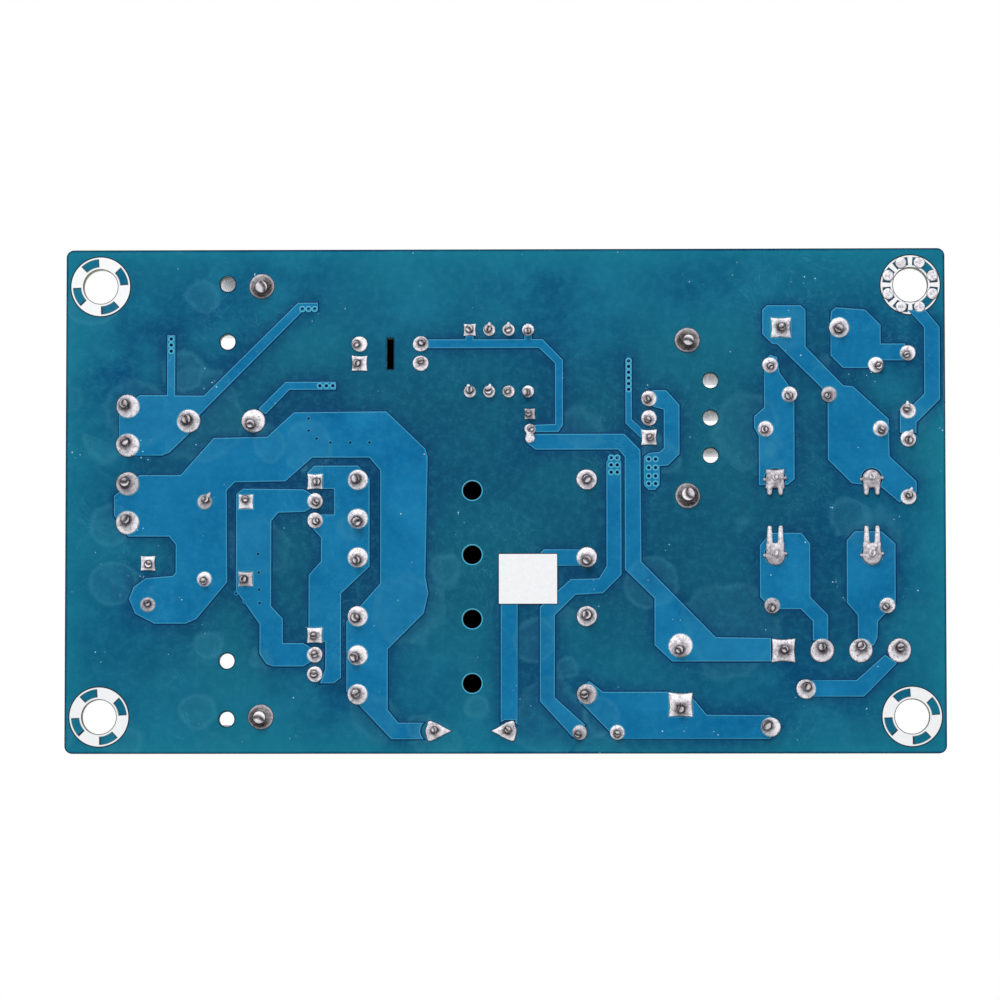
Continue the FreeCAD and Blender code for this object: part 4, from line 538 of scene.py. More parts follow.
# %% Mask skin
# The window's width is in grid steps
SKIN_INSET, SKIN_DEPTH = 0.3 * MM, 0.008 * MM
SKIN_COLUMNS, SKIN_ROWS = 360, 206
WINDOW = 11
skin_x = np.linspace(board_low[0] + SKIN_INSET, board_high[0] - SKIN_INSET, SKIN_COLUMNS)
skin_y = np.linspace(board_low[1] + SKIN_INSET, board_high[1] - SKIN_INSET, SKIN_ROWS)
skin_spots = np.stack(np.meshgrid(skin_x, skin_y), axis=-1).reshape(-1, 2)
copper_gap = np.clip(distance_to(track_outline, skin_spots) / MM, 0, 3)
copper_gap[inside(track_outline, skin_spots)] = 0.0
enclosed = copper_gap.reshape(SKIN_ROWS, SKIN_COLUMNS)
for axis in (0, 1):
    # A running mean is the difference of two running sums, with the border's value carried on
    margins = [(WINDOW // 2 + 1, WINDOW // 2) if axis == side else (0, 0) for side in (0, 1)]
    padded = np.pad(enclosed, margins, mode="edge")
    sums = np.cumsum(padded, axis=axis)
    ahead = np.take(sums, np.arange(WINDOW, sums.shape[axis]), axis=axis)
    enclosed = (ahead - np.take(sums, np.arange(sums.shape[axis] - WINDOW), axis=axis)) / WINDOW
enclosed = enclosed.ravel()
rim_gap = np.minimum(skin_spots - board_low[:2], board_high[:2] - skin_spots).min(axis=1) / MM
on_board = inside(board_outline, skin_spots)
skin_faces = quads(SKIN_ROWS, SKIN_COLUMNS)
skin_faces = skin_faces[on_board[skin_faces].all(axis=1)]
skin_points = np.column_stack([skin_spots, np.full(len(skin_spots), -SKIN_DEPTH)])
piece(
    "mask_skin", skin_points, skin_faces[:, ::-1], mask_finish,
    marks={
        "near_copper": 0.95 * np.exp(-((enclosed / 1.1) ** 1.3)),
        "near_rim": 0.8 * np.exp(-rim_gap / 2.6),
        "far_in": 0.65 * np.clip((rim_gap - 8) / 12, 0, 1),
    },
)

# %% [markdown]
# ## Solder
# Molten solder climbs the wire and pulls back at the pad's rim, so a joint is a low hollow hill
# with the cut end of the wire standing out of it. A dark film of burnt flux lies where the wire
# comes out. The finish reads all of this from marks on the points: how burnt and how dull each one
# is, where it carries painted highlights, and where painted shade darkens its foot and the groove
# of the cut end.

# %% Solder finish
solder = Finish("soldered_joint", Metallic=0.1)
solder_grain = solder.noise(0.22, 4.0, rough=0.65)
solder_cloud = solder.noise(0.5, 3.0)
solder_colour = solder.mix(
    solder.spread(solder_cloud, 0.38, 0.62), (140, 134, 139), (212, 206, 212)
)
# Painted highlight: where the shine mark is set, the solder is painted near white in patches.
patchy = solder.spread(solder_cloud, 0.36, 0.5, 0.5, 1.0)
painted_gleam = solder.sum("MULTIPLY", solder.mark("shine"), patchy)
solder_colour = solder.mix(painted_gleam, solder_colour, (248, 246, 252))
solder_colour = solder.mix(solder.mark("dull"), solder_colour, (112, 112, 118))
spots = solder.spread(solder_grain, 0.36, 0.44, 0.75, 0.0)
solder_colour = solder.mix(spots, solder_colour, (86, 78, 80))
# Painted highlight on the wire's cut faces.
solder_colour = solder.mix(solder.mark("painted_cut_highlight"), solder_colour, (250, 248, 252))
# Burnt flux darkens the solder, and through the same mark painted shade darkens the groove across
# the cut end.
burnt = solder.spread(solder_grain, 0.36, 0.6, 1.0, 0.75)
burnt = solder.sum("MULTIPLY", solder.mark("flux_burn_and_groove_shade"), burnt)
soot = solder.mix(solder.spread(solder_cloud, 0.45, 0.6), (8, 8, 11), (56, 36, 30))
solder_colour = solder.mix(burnt, solder_colour, soot)
solder.feed(solder.shader, "Specular IOR Level", solder.spread(burnt, 0.0, 1.0, 0.35, 0.02))
# Painted shade: a dark navy band round each joint's foot.
solder_colour = solder.mix(solder.mark("painted_shade_and_via_dot"), solder_colour, (8, 34, 58))
solder.bump(solder_grain, 0.03)
solder.bump(solder_cloud, 0.06)
solder_finish = solder.done(solder_colour, solder.spread(solder_grain, 0.3, 0.7, 0.3, 0.5))
print("solder finish ready")

# %% [markdown]
# A real row of joints never repeats: each wire stands a little off the middle of its pad, and the
# solder freezes bright here and dull there. A table gives both for every joint.

# %% What each joint looks like
# Each joint's place in tenths of a millimetre, its wire's offset in hundredths, and how bright its
# solder has frozen: 0 dull, 1 plain, 2 bright
# A brighter joint also gets more painted shine.
JOINT_FACTS = np.array([
    (-526, 4, -5, 25, 2), (-526, 80, -10, -20, 2), (-526, 116, 20, 30, 2), (-526, 192, 20, -30, 2),
    (-514, -196, -10, 40, 2), (-498, -138, 25, -20, 1), (-491, 94, -10, -25, 2),
    (-485, 177, -40, -20, 2), (-464, -196, -5, 55, 1), (-437, 226, 5, -20, 1),
    (-423, 139, 20, -25, 0), (-413, -196, 5, 40, 1), (-392, -246, -10, 30, 1),
    (-372, 139, 10, -25, 1), (-363, -196, -15, 10, 1), (-361, 226, -10, 0, 1),
    (-348, -138, 10, -35, 0), (-347, 177, -5, -20, 2), (-346, -296, 55, 20, 1),
    (-341, 94, 15, -15, 1), (-239, 6, -10, 15, 0), (-239, 210, -15, -10, 0),
    (-229, -267, 0, -60, 2), (-229, -190, 15, -60, 1), (-189, 83, -15, -5, 2),
    (-189, 108, 15, -25, 1), (-189, 133, 25, -15, 1), (-146, -302, 0, -20, 1),
    (-107, -253, 30, -5, 0), (-107, -151, 0, 15, 1), (-107, -74, 0, -45, 2), (-107, 28, -5, 0, 2),
    (-98, -302, 25, -30, 0), (-33, 94, -15, 5, 2), (-33, 114, 20, 5, 0), (-31, 143, 25, -20, 1),
    (-31, 224, 5, -20, 1), (-5, 143, 15, 5, 2), (-5, 224, 5, 0, 2), (20, 143, 10, 5, 2),
    (20, 224, 15, 10, 2), (46, 143, 0, 20, 1), (46, 224, 5, 10, 1), (110, 180, -5, 25, 2),
    (110, 206, -15, 20, 2), (190, 180, 35, 0, 2), (190, 206, 45, -5, 2), (192, -253, 20, 10, 1),
    (192, -202, 40, -30, 1), (192, -151, 30, -20, 1), (192, -74, 15, -40, 1),
    (192, -23, 10, -45, 1), (192, 28, 25, 10, 2), (248, -226, 10, 5, 2), (248, -201, 0, 5, 1),
    (248, -176, 15, -10, 1), (248, -25, -15, -15, 2), (248, 0, -15, -15, 2), (248, 25, -25, -5, 1),
    (318, -282, 15, -10, 0), (318, 282, 0, -20, 0), (329, 105, 35, -45, 1), (338, -102, 30, -5, 0),
    (338, -1, 5, 35, 1), (392, -102, 5, -30, 1), (392, -1, -15, 30, 0), (414, 105, 20, 15, 1),
    (467, -135, 0, 10, 0), (467, -81, -10, -15, 1), (493, -28, 20, 35, 1), (493, 23, 30, 15, 0),
    (493, 74, 30, 40, 1), (493, 124, 45, 25, 2),
], float)
LOOKS = np.array([-0.45, 0.25, 0.9])


def facts_of(feet):
    """The wire's offset in mm and the look for each foot, from the nearest row of facts."""
    away = np.hypot(*(feet[:, None, :2] / MM - JOINT_FACTS[None, :, :2] / 10).transpose(2, 0, 1))
    nearest = JOINT_FACTS[away.argmin(axis=1)]
    known = away.min(axis=1) < 1.0
    look = np.where(known, nearest[:, 4], 2).astype(int)
    return np.where(known[:, None], nearest[:, 2:4] / 100, (0.0, 0.15)), LOOKS[look]


print(len(JOINT_FACTS), "joints described")

# %% [markdown]
# The outline of a joint is a circle, a square pinched along its sides or an arrowhead. Each one is
# a distance by angle, so one function can make a hill over any of them.


# %% Joint outlines
COLUMNS = 48
ROUND = np.linspace(0.0, 2 * np.pi, COLUMNS, endpoint=False)


def pinched_square(angle, pinch=0.09):
    """Distance to a square's side by angle, drawn in a little between its corners."""
    side = 1.0 / np.maximum(np.abs(np.cos(angle)), np.abs(np.sin(angle)))
    return side * (1.0 - pinch * (1.0 - (side - 1.0) / 0.4142))


def arrowhead(angle, way):
    """Distance to an arrowhead's outline by angle: read off between a few given directions."""
    turned = np.degrees(angle if way > 0 else np.pi - angle) % 360
    folded = np.minimum(turned, 360 - turned)
    given = np.array([0, 4, 12, 30, 60, 95, 112, 122, 132, 150, 180])
    reach = np.array([1.42, 1.25, 0.98, 0.76, 0.66, 0.74, 0.92, 0.98, 0.86, 0.74, 0.74])
    return np.interp(folded, given, reach)


print("square's corner at", round(float(pinched_square(np.array([np.pi / 4]))[0]), 3))

# %% [markdown]
# One formula makes all the hills: rows run from the rim to the wire's end, columns run round it,
# and numpy works on every joint of a kind at once. Chance gives each its own height, lean and
# unevenness, from a seed, so the same joints come out each time.


# %% Joint hills
# Rows from the foot to the wire: how far out each lies, how much burnt flux it carries
FOOT_ROWS = np.array([1.12, 1.07, 1.0, 0.985, 0.95, 0.86, 0.72, 0.56, 0.4, 0.25, 0.12, 0.03])
FOOT_BURN = np.array([0.0, 0.0, 0.0, 0.0, 0.0, 0.0, 0.0, 0.0, 0.1, 0.5, 1.0, 1.2])
SOOTY = np.array([0.0, 0.0, 0.1, 0.1, 0.15, 0.3, 0.8, 1.0, 1.1, 1.1, 1.1, 1.1])
# Rows of the wire: its width and its height above the solder
WIRE_WIDE = np.array([1.0, 1.0, 0.98, 0.92, 0.8, 0.64, 0.48, 0.32, 0.16, 0.0])
WIRE_HIGH = np.array([0.05, 0.4, 0.8, 0.96, 1.0, 1.0, 1.0, 1.0, 1.0, 1.0])
WIRE_BURN = np.array([1.1, 1.1, 1.0, 0.3, 0.0, 0.0, 0.0, 0.0, 0.0, 0.0])
WIRE_END = WIRE_HIGH > 0.9
# The pad's own height and the step up of the solder's rim, over a width in shares of the radius
PAD_MM, STEP_MM, STEP_WIDTH = 0.105, 0.12, 0.05
# Feet wider than this belong to thick wires, whose cutting groove is narrow for their size
THICK_FOOT = 1.58 * MM


def solder_hills(
    feet, outline, wire_mm, seed,
    fill=(0.42, 0.6), steep=2.6, burns=FOOT_BURN, tail=1.0, char_and_groove_shade=1.0, least_painted_shine=0.0,
):
    """Hills of solder with a cut wire: points (joints, rows, columns, 3) and their marks.

    Height rises as a power of the way in from the rim to the wire, and the outline turns into a
    circle on that way. The wire stands off the middle by its own offset, and the cutter has left
    a groove across its end, darkened with painted shade, between two faces with a painted
    highlight, one side brighter than the other. A dark navy band of painted shade runs round the
    foot, and the solder away from the wire gets a painted shine. Of the settings, fill is the range
    of the solder's share of the depth, steep the power, tail the wire's length,
    char_and_groove_shade the amount of burnt flux and of painted shade in the groove, and
    least_painted_shine the least painted shine.
    """
    dice = np.random.default_rng(seed)
    count = len(feet)
    offset, look = facts_of(feet)
    x, y, radius, depth = (feet[:, index][:, None, None] for index in range(4))
    wire = wire_mm * MM * dice.uniform(0.88, 1.12, (count, 1, 1))
    neck = wire / radius
    inward = FOOT_ROWS[None, :, None]
    share = neck + (1 - neck) * inward
    shape = 1.0 + (outline[None, None, :] - 1.0) * np.minimum(inward, 1.0) ** 0.7
    wave = dice.uniform(0, 2 * np.pi, (count, 1, 1))
    ripple = 1.0 + 0.015 * np.cos(2 * ROUND + wave) + 0.01 * np.cos(3 * ROUND + 2 * wave)
    reach = radius * share * shape * ripple
    top = depth * dice.uniform(*fill, (count, 1, 1))
    climbed = np.clip(1 - inward, 0, 1)
    edge = np.clip((FOOT_ROWS[0] - inward) / STEP_WIDTH, 0, 1) * PAD_MM
    edge = edge + np.clip((1 - inward) / STEP_WIDTH, 0, 1) * STEP_MM
    rise = edge * MM + (top - (PAD_MM + STEP_MM) * MM) * (0.28 * climbed + 0.72 * climbed**steep)
    rise = rise * (1.0 + 0.1 * np.cos(ROUND + wave) * climbed * (1 - climbed) * 4)
    stub = np.minimum(depth * 0.97 - top, depth * 0.42 * tail)
    wire_reach = np.broadcast_to(wire * WIRE_WIDE[None, :, None], (count, len(WIRE_WIDE), COLUMNS))
    thin = radius.max() < THICK_FOOT
    end_x = WIRE_WIDE[:, None] * np.cos(ROUND - wave)
    end_y = WIRE_WIDE[:, None] * np.sin(ROUND - wave)
    bend = dice.uniform(0.2, 0.8, (count, 1, 1))
    across_cut = end_y + bend * end_x**2 - dice.uniform(0.0, 0.5, (count, 1, 1))
    groove = np.exp(-((across_cut / (0.42 if thin else 0.3)) ** 2)) * WIRE_END[:, None]
    wire_rise = top + stub * (WIRE_HIGH[None, :, None] - 0.3 * groove)
    hill = (count, len(FOOT_ROWS), COLUMNS)
    reach = np.concatenate([reach, wire_reach], axis=1)
    rise = np.concatenate([np.broadcast_to(rise, hill), wire_rise], axis=1)
    # Rows of the hill are drawn towards the wire, the more the nearer they lie to it
    drawn = np.concatenate([np.clip(1 - FOOT_ROWS, 0, 1) ** 0.8, np.ones(len(WIRE_WIDE))])
    drawn = drawn[None, :, None]
    room = np.clip(0.93 * radius[..., 0] - wire[..., 0], 0, None)
    length = np.linalg.norm(offset, axis=1, keepdims=True) * MM
    moved = offset * MM * np.minimum(1.0, room / np.maximum(length, 1e-9))
    off_x, off_y = moved[:, 0, None, None], moved[:, 1, None, None]
    grids = np.stack([
        x + reach * np.cos(ROUND) + off_x * drawn,
        y + reach * np.sin(ROUND) + off_y * drawn,
        -rise,
    ], axis=-1)
    shape = grids.shape[:3]
    from_wire = np.hypot(grids[..., 0] - x - off_x, grids[..., 1] - y - off_y) / radius
    level = look[:, None, None]
    # Painted highlight: the solder away from the wire, and more of it on bright joints, gets
    # painted shine.
    shine = least_painted_shine + np.clip((from_wire - 0.5) / 0.5, 0, 1) * np.clip(0.8 + 0.4 * level, 0.0, 1.0)
    dull = np.clip(-level, 0, 1) * 0.9
    burn_and_groove_shade = char_and_groove_shade * np.concatenate([burns, WIRE_BURN])[None, :, None]
    burn_and_groove_shade = burn_and_groove_shade * dice.uniform(0.85, 1.15, (count, 1, 1)) * (1.0 + 0.35 * np.cos(ROUND + 2 * wave))
    # Painted shade in the groove across the cut end, carried by the burnt flux mark.
    burn_and_groove_shade[:, len(FOOT_ROWS):] = np.maximum(burn_and_groove_shade[:, len(FOOT_ROWS):], char_and_groove_shade * groove * 1.1)
    # Painted highlight on the two cut faces, the one side brighter than the other.
    face = dice.uniform(0.35, 0.9, (count, 1, 1)) if char_and_groove_shade >= 1.0 and thin else 1.0
    painted_cut_sides = np.where(across_cut > 0, face, 0.45 * face) * (1 - groove)
    cut = np.concatenate([np.zeros(hill), painted_cut_sides * WIRE_END[None, :, None]], axis=1)
    # Painted shade: a dark navy band along the joint's first rows, at its foot.
    rim = np.zeros((1, shape[1], 1))
    rim[0, :4, 0] = (1.0, 1.0, 0.55, 0.1)
    marks = {"flux_burn_and_groove_shade": burn_and_groove_shade, "painted_cut_highlight": cut, "shine": shine, "dull": dull, "painted_shade_and_via_dot": rim}
    clipped = {name: np.clip(np.broadcast_to(mark, shape), 0, 1) for name, mark in marks.items()}
    return grids, clipped


def soldered(name, stacks, *replaced):
    """A piece of solder made from one or more stacks of hills."""
    hills = np.concatenate([grids for grids, _ in stacks])
    points, faces = flatten(hills, wrapped=True, turned=True)
    marks = {mark: np.concatenate([table[mark] for _, table in stacks]) for mark in stacks[0][1]}
    return piece(name, points, faces, solder_finish, marks=marks, instead_of=replaced)


circle = np.ones(COLUMNS)
soldered("power_solder", [solder_hills(power_feet, circle, 0.52, 11)], "power_joints")
soldered("signal_solder", [solder_hills(signal_feet, circle, 0.38, 12)], "signal_joints")
soldered(
    "square_solder",
    [solder_hills(square_feet, pinched_square(ROUND), 0.4, 13, fill=(0.4, 0.55), steep=3.0)],
    "square_joints",
)

# %% [markdown]
# Other settings of the same function give the rest. Two arrowheads point at each other with the
# spark gap between them. The heatsinks' thick pins carry little solder and much soot, and the
# bumps round the earthed hole are smooth domes with next to no wire.

# %% Spark gap, heatsink and earth joints
ARROW_RADIUS, ARROW_SHIFT = 1.5 * MM, 0.4 * MM
BUMP_RADIUS, BUMP_DEPTH = 0.7 * MM, 0.5 * MM
spark_feet = feet("spark_gap_joints")
spark_feet[:, 2] = ARROW_RADIUS
spark_way = np.where(spark_feet[:, 0] < spark_feet[:, 0].mean(), 1, -1)
spark_feet[spark_way < 0, 0] -= ARROW_SHIFT
soldered("spark_gap_solder", [
    solder_hills(
        spark_feet[[number]], arrowhead(ROUND, way), 0.36, 21 + number, steep=2.0, least_painted_shine=0.3
    )
    for number, way in enumerate(spark_way)
], "spark_gap_joints")
soldered("heatsink_solder", [
    solder_hills(
        feet("heatsink_joints"), circle, 0.8, 31,
        fill=(0.2, 0.28), steep=1.2, burns=SOOTY, tail=1.2, char_and_groove_shade=0.86,
    )
], "heatsink_joints")
earth_feet = feet("earth_joints")
earth_feet[:, 2:] = (BUMP_RADIUS, BUMP_DEPTH)
soldered("earth_solder", [
    solder_hills(
        earth_feet, circle, 0.16, 41,
        fill=(0.85, 0.95), steep=0.5, tail=0.05, char_and_groove_shade=0.1, least_painted_shine=0.75,
    )
], "earth_joints")

# %% [markdown]
# Where a board leaves the wave of solder, some joints tear off with a thin drop at one side. These
# few all point about the same way.

# %% Torn peaks
# Each drop's place in mm and the way it points, in degrees
PEAKS = np.array([
    (2.0, 14.3, 95), (4.6, 14.3, 78), (-52.6, 11.6, 88), (-52.6, 8.0, 118),
    (-52.6, 0.4, 112), (39.2, -0.1, 118), (2.0, 22.4, 92), (-0.5, 22.4, 90),
])
PEAK_ROWS = 17


def peak(x, y, way, far):
    """A drop drawn out along a direction: a ball's rows with a longer and tapering tip."""
    over = np.linspace(0, np.pi, PEAK_ROWS)[:, None]
    angles = np.linspace(0, 2 * np.pi, 16, endpoint=False)[None, :]
    along = far * (0.62 - 0.4 * np.cos(over))
    thick = (0.3 - 0.08 * (along / far) ** 2) * np.sin(over) ** 0.8
    side, down = thick * np.cos(angles), 0.34 + thick * np.sin(angles)
    cosine, sine = np.cos(np.radians(way)), np.sin(np.radians(way))
    east = x + along * cosine - side * sine
    north = y + along * sine + side * cosine
    return np.stack([east, north, -down], axis=-1) * MM


peak_grids = np.stack([
    peak(x, y, way, 1.35 if abs(x) > 30 else 0.98) for x, y, way in PEAKS
])
peak_points, peak_faces = flatten(peak_grids, wrapped=True)
# Painted highlight: the shine grows along each drop towards its tip.
piece("solder_peaks", peak_points, peak_faces, solder_finish, marks={
    "shine": np.broadcast_to(np.linspace(0, 1, PEAK_ROWS)[None, :, None], peak_grids.shape[:3]),
})

# %% [markdown]
# The choke's joints have two pointed horns of solder each, so their outline is no plain curve
# round a middle. They are height fields instead: a distance from the outline is worked out at
# each point of a square grid, points just outside are pulled onto it, and the height is a rounded
# function of that distance.


# %% Solder with horns
def blend(first, second, softness):
    """The larger of two distances with a rounded corner between them."""
    return np.logaddexp(first / softness, second / softness) * softness


def horned_distance(x, y, squared, reach):
    """How far inside the outline a point lies, in mm: a body, two tapering horns and two nubs."""
    if reach > 0:
        sides = 1.2 + 0.1 * np.clip(-y, 0, 1)
        body = np.minimum(sides - np.abs(x), 1.55 - y)
        lower = 1.3 - np.hypot(x, y + 0.1)
        body = np.where(y > -0.1, np.minimum(body, 1.6 - y), lower)
    elif squared:
        half = 1.3
        pinch_x = 0.12 * (1 - np.clip(np.abs(y) / half, 0, 1) ** 2)
        pinch_y = 0.1 * (1 - np.clip(np.abs(x) / half, 0, 1) ** 2)
        body = np.minimum(half - pinch_x - np.abs(x), half - np.abs(y) - pinch_y)
    else:
        body = 1.22 - np.hypot(x, y)
    along = np.clip(y / reach, 0, 0.93)
    for side in (-1, 1):
        middle = side * (0.68 + 0.04 * along)
        horn = 0.46 - 0.16 * along**2 - np.hypot(x - middle, y - along * reach)
        body = blend(body, horn, 0.06)
        nub = 0.24 - np.hypot(x - side * 1.38, y + 0.1 * side)
        body = blend(body, nub, 0.05)
    return body


def height_field(distance, low, high, step, height):
    """A rounded mound over an outline, with a dark rim of painted shade and painted shine.

    A point outside moves down the distance's slope onto the outline, and faces with a corner
    further out than one square go. The height is a quarter ellipse of the distance.
    """
    across, along = np.meshgrid(np.arange(low[0], high[0], step), np.arange(low[1], high[1], step))
    inward = distance(across, along)
    slope_y, slope_x = np.gradient(inward, step)
    pull = np.where(inward < 0, -inward, 0.0) / np.maximum(slope_x**2 + slope_y**2, 0.3)
    x, y = across + pull * slope_x, along + pull * slope_y
    depth = np.clip(inward, 0, None)
    edge = np.sqrt(1 - (1 - np.clip(depth / 0.35, 0, 1)) ** 2)
    rise = PAD_MM + height * (0.55 * edge + 0.45 * np.clip(depth / 1.2, 0, 1) ** 1.5)
    faces = quads(*across.shape)
    # A corner may lie as far out as the diagonal of one square
    keep = (inward.ravel() > -0.99 * step * 1.42)[faces].all(axis=1)
    points = np.stack([x, y, -rise], axis=-1).reshape(-1, 3)
    # Painted shade: a dark band along the outline.
    rim = np.clip(1 - depth / 0.1, 0, 1).ravel()
    # Painted highlight: paler the further from the middle, towards the horns' tips.
    shine = np.clip((np.hypot(x, y) - 0.7) / 2.2, 0, 0.9).ravel()
    return points, faces[keep][:, ::-1], rim, shine


choke_feet = feet("choke_joints")
upper_y = choke_feet[:, 1].mean()
horn_parts, horn_tables = [], []
for foot_x, foot_y in choke_feet[:, :2]:
    horn_reach = -2.0 if foot_y > upper_y else 3.75
    is_square = foot_y > upper_y and foot_x > choke_feet[:, 0].mean()
    part = height_field(
        lambda x, y: horned_distance(x, y, is_square, horn_reach),
        (-1.8, -2.4), (1.8, 4.2), 0.05, 0.85,
    )
    horn_parts.append((part[0] * MM + (foot_x, foot_y, 0), part[1]))
    horn_tables.append(part[2:])


def gathered(parts):
    """Points and faces of several grids as one mesh."""
    starts = np.cumsum([0] + [len(points) for points, _ in parts[:-1]])
    faces = np.concatenate([faces + start for (_, faces), start in zip(parts, starts)])
    return np.concatenate([points for points, _ in parts]), faces


horn_points, horn_faces = gathered(horn_parts)
piece(
    "horned_solder", horn_points, horn_faces, solder_finish,
    marks={
        "painted_shade_and_via_dot": np.concatenate([rim for rim, _ in horn_tables]),
        "shine": np.concatenate([shine for _, shine in horn_tables]),
    },
    instead_of=("choke_joints",),
)
TAIL_RADIUS, TAIL_DEPTH = 0.62 * MM, 1.7 * MM
tail_feet = choke_feet.copy()
tail_feet[:, 2:] = (TAIL_RADIUS, TAIL_DEPTH)
soldered("horned_tails", [
    solder_hills(
        tail_feet, circle, 0.4, 51, fill=(0.6, 0.7), steep=1.2, char_and_groove_shade=0.6, least_painted_shine=0.4
    )
])

# %% [markdown]
# From one joint beside the transformer a little solder has run down over the mask. The same
# height field makes it, from a neck blended into a round.


# %% Solder run
def run_distance(x, y):
    """How far inside a blob that ran off a joint a point lies, in mm: a neck and a round."""
    return blend(0.5 - np.hypot(x, y + 0.5), 0.66 - np.hypot(x, y + 1.18), 0.08)


RUN_FROM = np.array([-3.3, 9.4]) * MM
run_x, run_y = signal_feet[np.linalg.norm(signal_feet[:, :2] - RUN_FROM, axis=1).argmin(), :2]
run_points, run_faces, run_rim, _ = height_field(run_distance, (-1.2, -2.3), (1.2, 0.4), 0.05, 0.42)
# Painted shade along its rim and painted shine over all of it.
piece(
    "solder_run", run_points * MM + (run_x, run_y, 0), run_faces, solder_finish,
    marks={"painted_shade_and_via_dot": run_rim, "shine": np.full(len(run_points), 0.85)},
)

# %% [markdown]
# ## Print on the solder side
# White ink marks the mounting holes: a ring with four windows, through which the mask shows, and
# a thin dark outline. The fourth hole is earthed and has eight solder bumps in its ring. A white
# box stands beside the transformer and is left bare. A decal image would do, but grids of a few
# faces give crisp borders at any distance.

# %% Ink
ink = Finish("white_print", Specular_IOR_Level=0.2)
ink_grain = ink.noise(0.5, 4.0)
ink_colour = ink.mix(ink_grain, (232, 235, 238), (248, 249, 250))
ink_colour = ink.mix(ink.mark("painted_rim_shade_and_ink_outline"), ink_colour, (10, 20, 32))
ink_finish = ink.done(ink_colour, ink.spread(ink_grain, 0.3, 0.7, 0.5, 0.65))
print("ink ready")


# %% [markdown]
# Each ring is a polar grid: rows are radii, columns are angles. Leaving out a block of faces
# opens a window, and points marked dark draw the outline.


# %% Hole rings
# The rows' radii in mm, and which of them are dark; faces between rows 4 and 5 can be a window
RING_RADII = np.array([2.25, 2.31, 2.36, 2.5, 2.62, 3.6, 3.7, 3.83, 3.87, 4.0])
RING_DARK = np.array([1, 1, 0, 0, 0, 0, 0, 0, 1, 1], float)
RING_STEP, RING_LEVEL, WINDOW_RIM = 1.5, -0.03, 1.8


def hole_ring(x, y, windows, half_width):
    """A flat ring of ink, whose window faces are left out, with dark rims.

    A window reaches half_width degrees to both sides of each of the angles in windows.
    """
    angles = np.radians(np.arange(0.0, 360.0, RING_STEP))
    grid = np.stack([
        x + RING_RADII[:, None] * MM * np.cos(angles),
        y + RING_RADII[:, None] * MM * np.sin(angles),
        np.full((len(RING_RADII), len(angles)), RING_LEVEL * MM),
    ], axis=-1)
    turn = np.degrees(angles)[:, None] - np.asarray(windows)[None] + 180
    away = np.abs(turn % 360 - 180).min(axis=1)
    in_window = away < half_width
    faces = quads(len(RING_RADII), len(angles), wrapped=True)
    faces = faces.reshape(len(RING_RADII) - 1, len(angles), 4)
    keep = np.ones(faces.shape[:2], bool)
    keep[4] = ~(in_window & np.roll(in_window, -1))
    dark = np.broadcast_to(RING_DARK[:, None], grid.shape[:2]).copy()
    dark[4:6, (away >= half_width) & (away < half_width + WINDOW_RIM)] = 1.0
    dark[4:6, in_window] = 1.0
    return grid.reshape(-1, 3), faces[keep][:, ::-1], dark.ravel()


PLAIN_WINDOWS = (156, 66, -23, -112)
EARTH_WINDOWS = tuple(22.5 + 45 * step for step in range(8)) + (139, 230)
mount_x, mount_y = 53.0 * MM, 28.2 * MM
ring_parts = [
    hole_ring(side_x * mount_x, side_y * mount_y, PLAIN_WINDOWS, 19.0)
    for side_x, side_y in ((1, 1), (1, -1), (-1, -1))
] + [hole_ring(-mount_x, mount_y, EARTH_WINDOWS, 16.0)]
ring_points, ring_faces = gathered([part[:2] for part in ring_parts])
ring_dark = np.concatenate([part[2] for part in ring_parts])
piece(
    "hole_rings", ring_points, ring_faces, ink_finish, smooth=False,
    marks={"painted_rim_shade_and_ink_outline": ring_dark},
)


# %% White box
BOX_LEVEL = -0.118


def printed_box(x, y, length, width):
    """A flat patch of ink with a thin dark rim, on a grid with rows close to its edges."""
    def steps(half):
        """Places from one edge to the other, with the rim's inner lines beside each edge."""
        return np.array([-half, -half + 0.09, -half + 0.12, half - 0.12, half - 0.09, half])

    across, along = np.meshgrid(x + steps(length / 2), y + steps(width / 2))
    dark = np.zeros(across.shape)
    dark[[0, 1, -2, -1], :] = 1.0
    dark[:, [0, 1, -2, -1]] = 1.0
    level = np.full(across.shape, BOX_LEVEL * MM)
    points = np.stack([across * MM, along * MM, level], axis=-1)
    return points.reshape(-1, 3), quads(*across.shape)[:, ::-1], dark.ravel()


box_points, box_faces, box_dark = printed_box(-3.03, -10.22, 7.8, 6.7)
piece(
    "white_box", box_points, box_faces, ink_finish, smooth=False,
    marks={"painted_rim_shade_and_ink_outline": box_dark},
)

# %% [markdown]
# ## Plated through holes
# Small drilled holes with copper walls join the two sides. Under the mask each is a dark dimple
# in a pale ring. They are far too small to be worth drilling in the board, so a tiny ring of
# lacquer with a dark middle stands for each one.

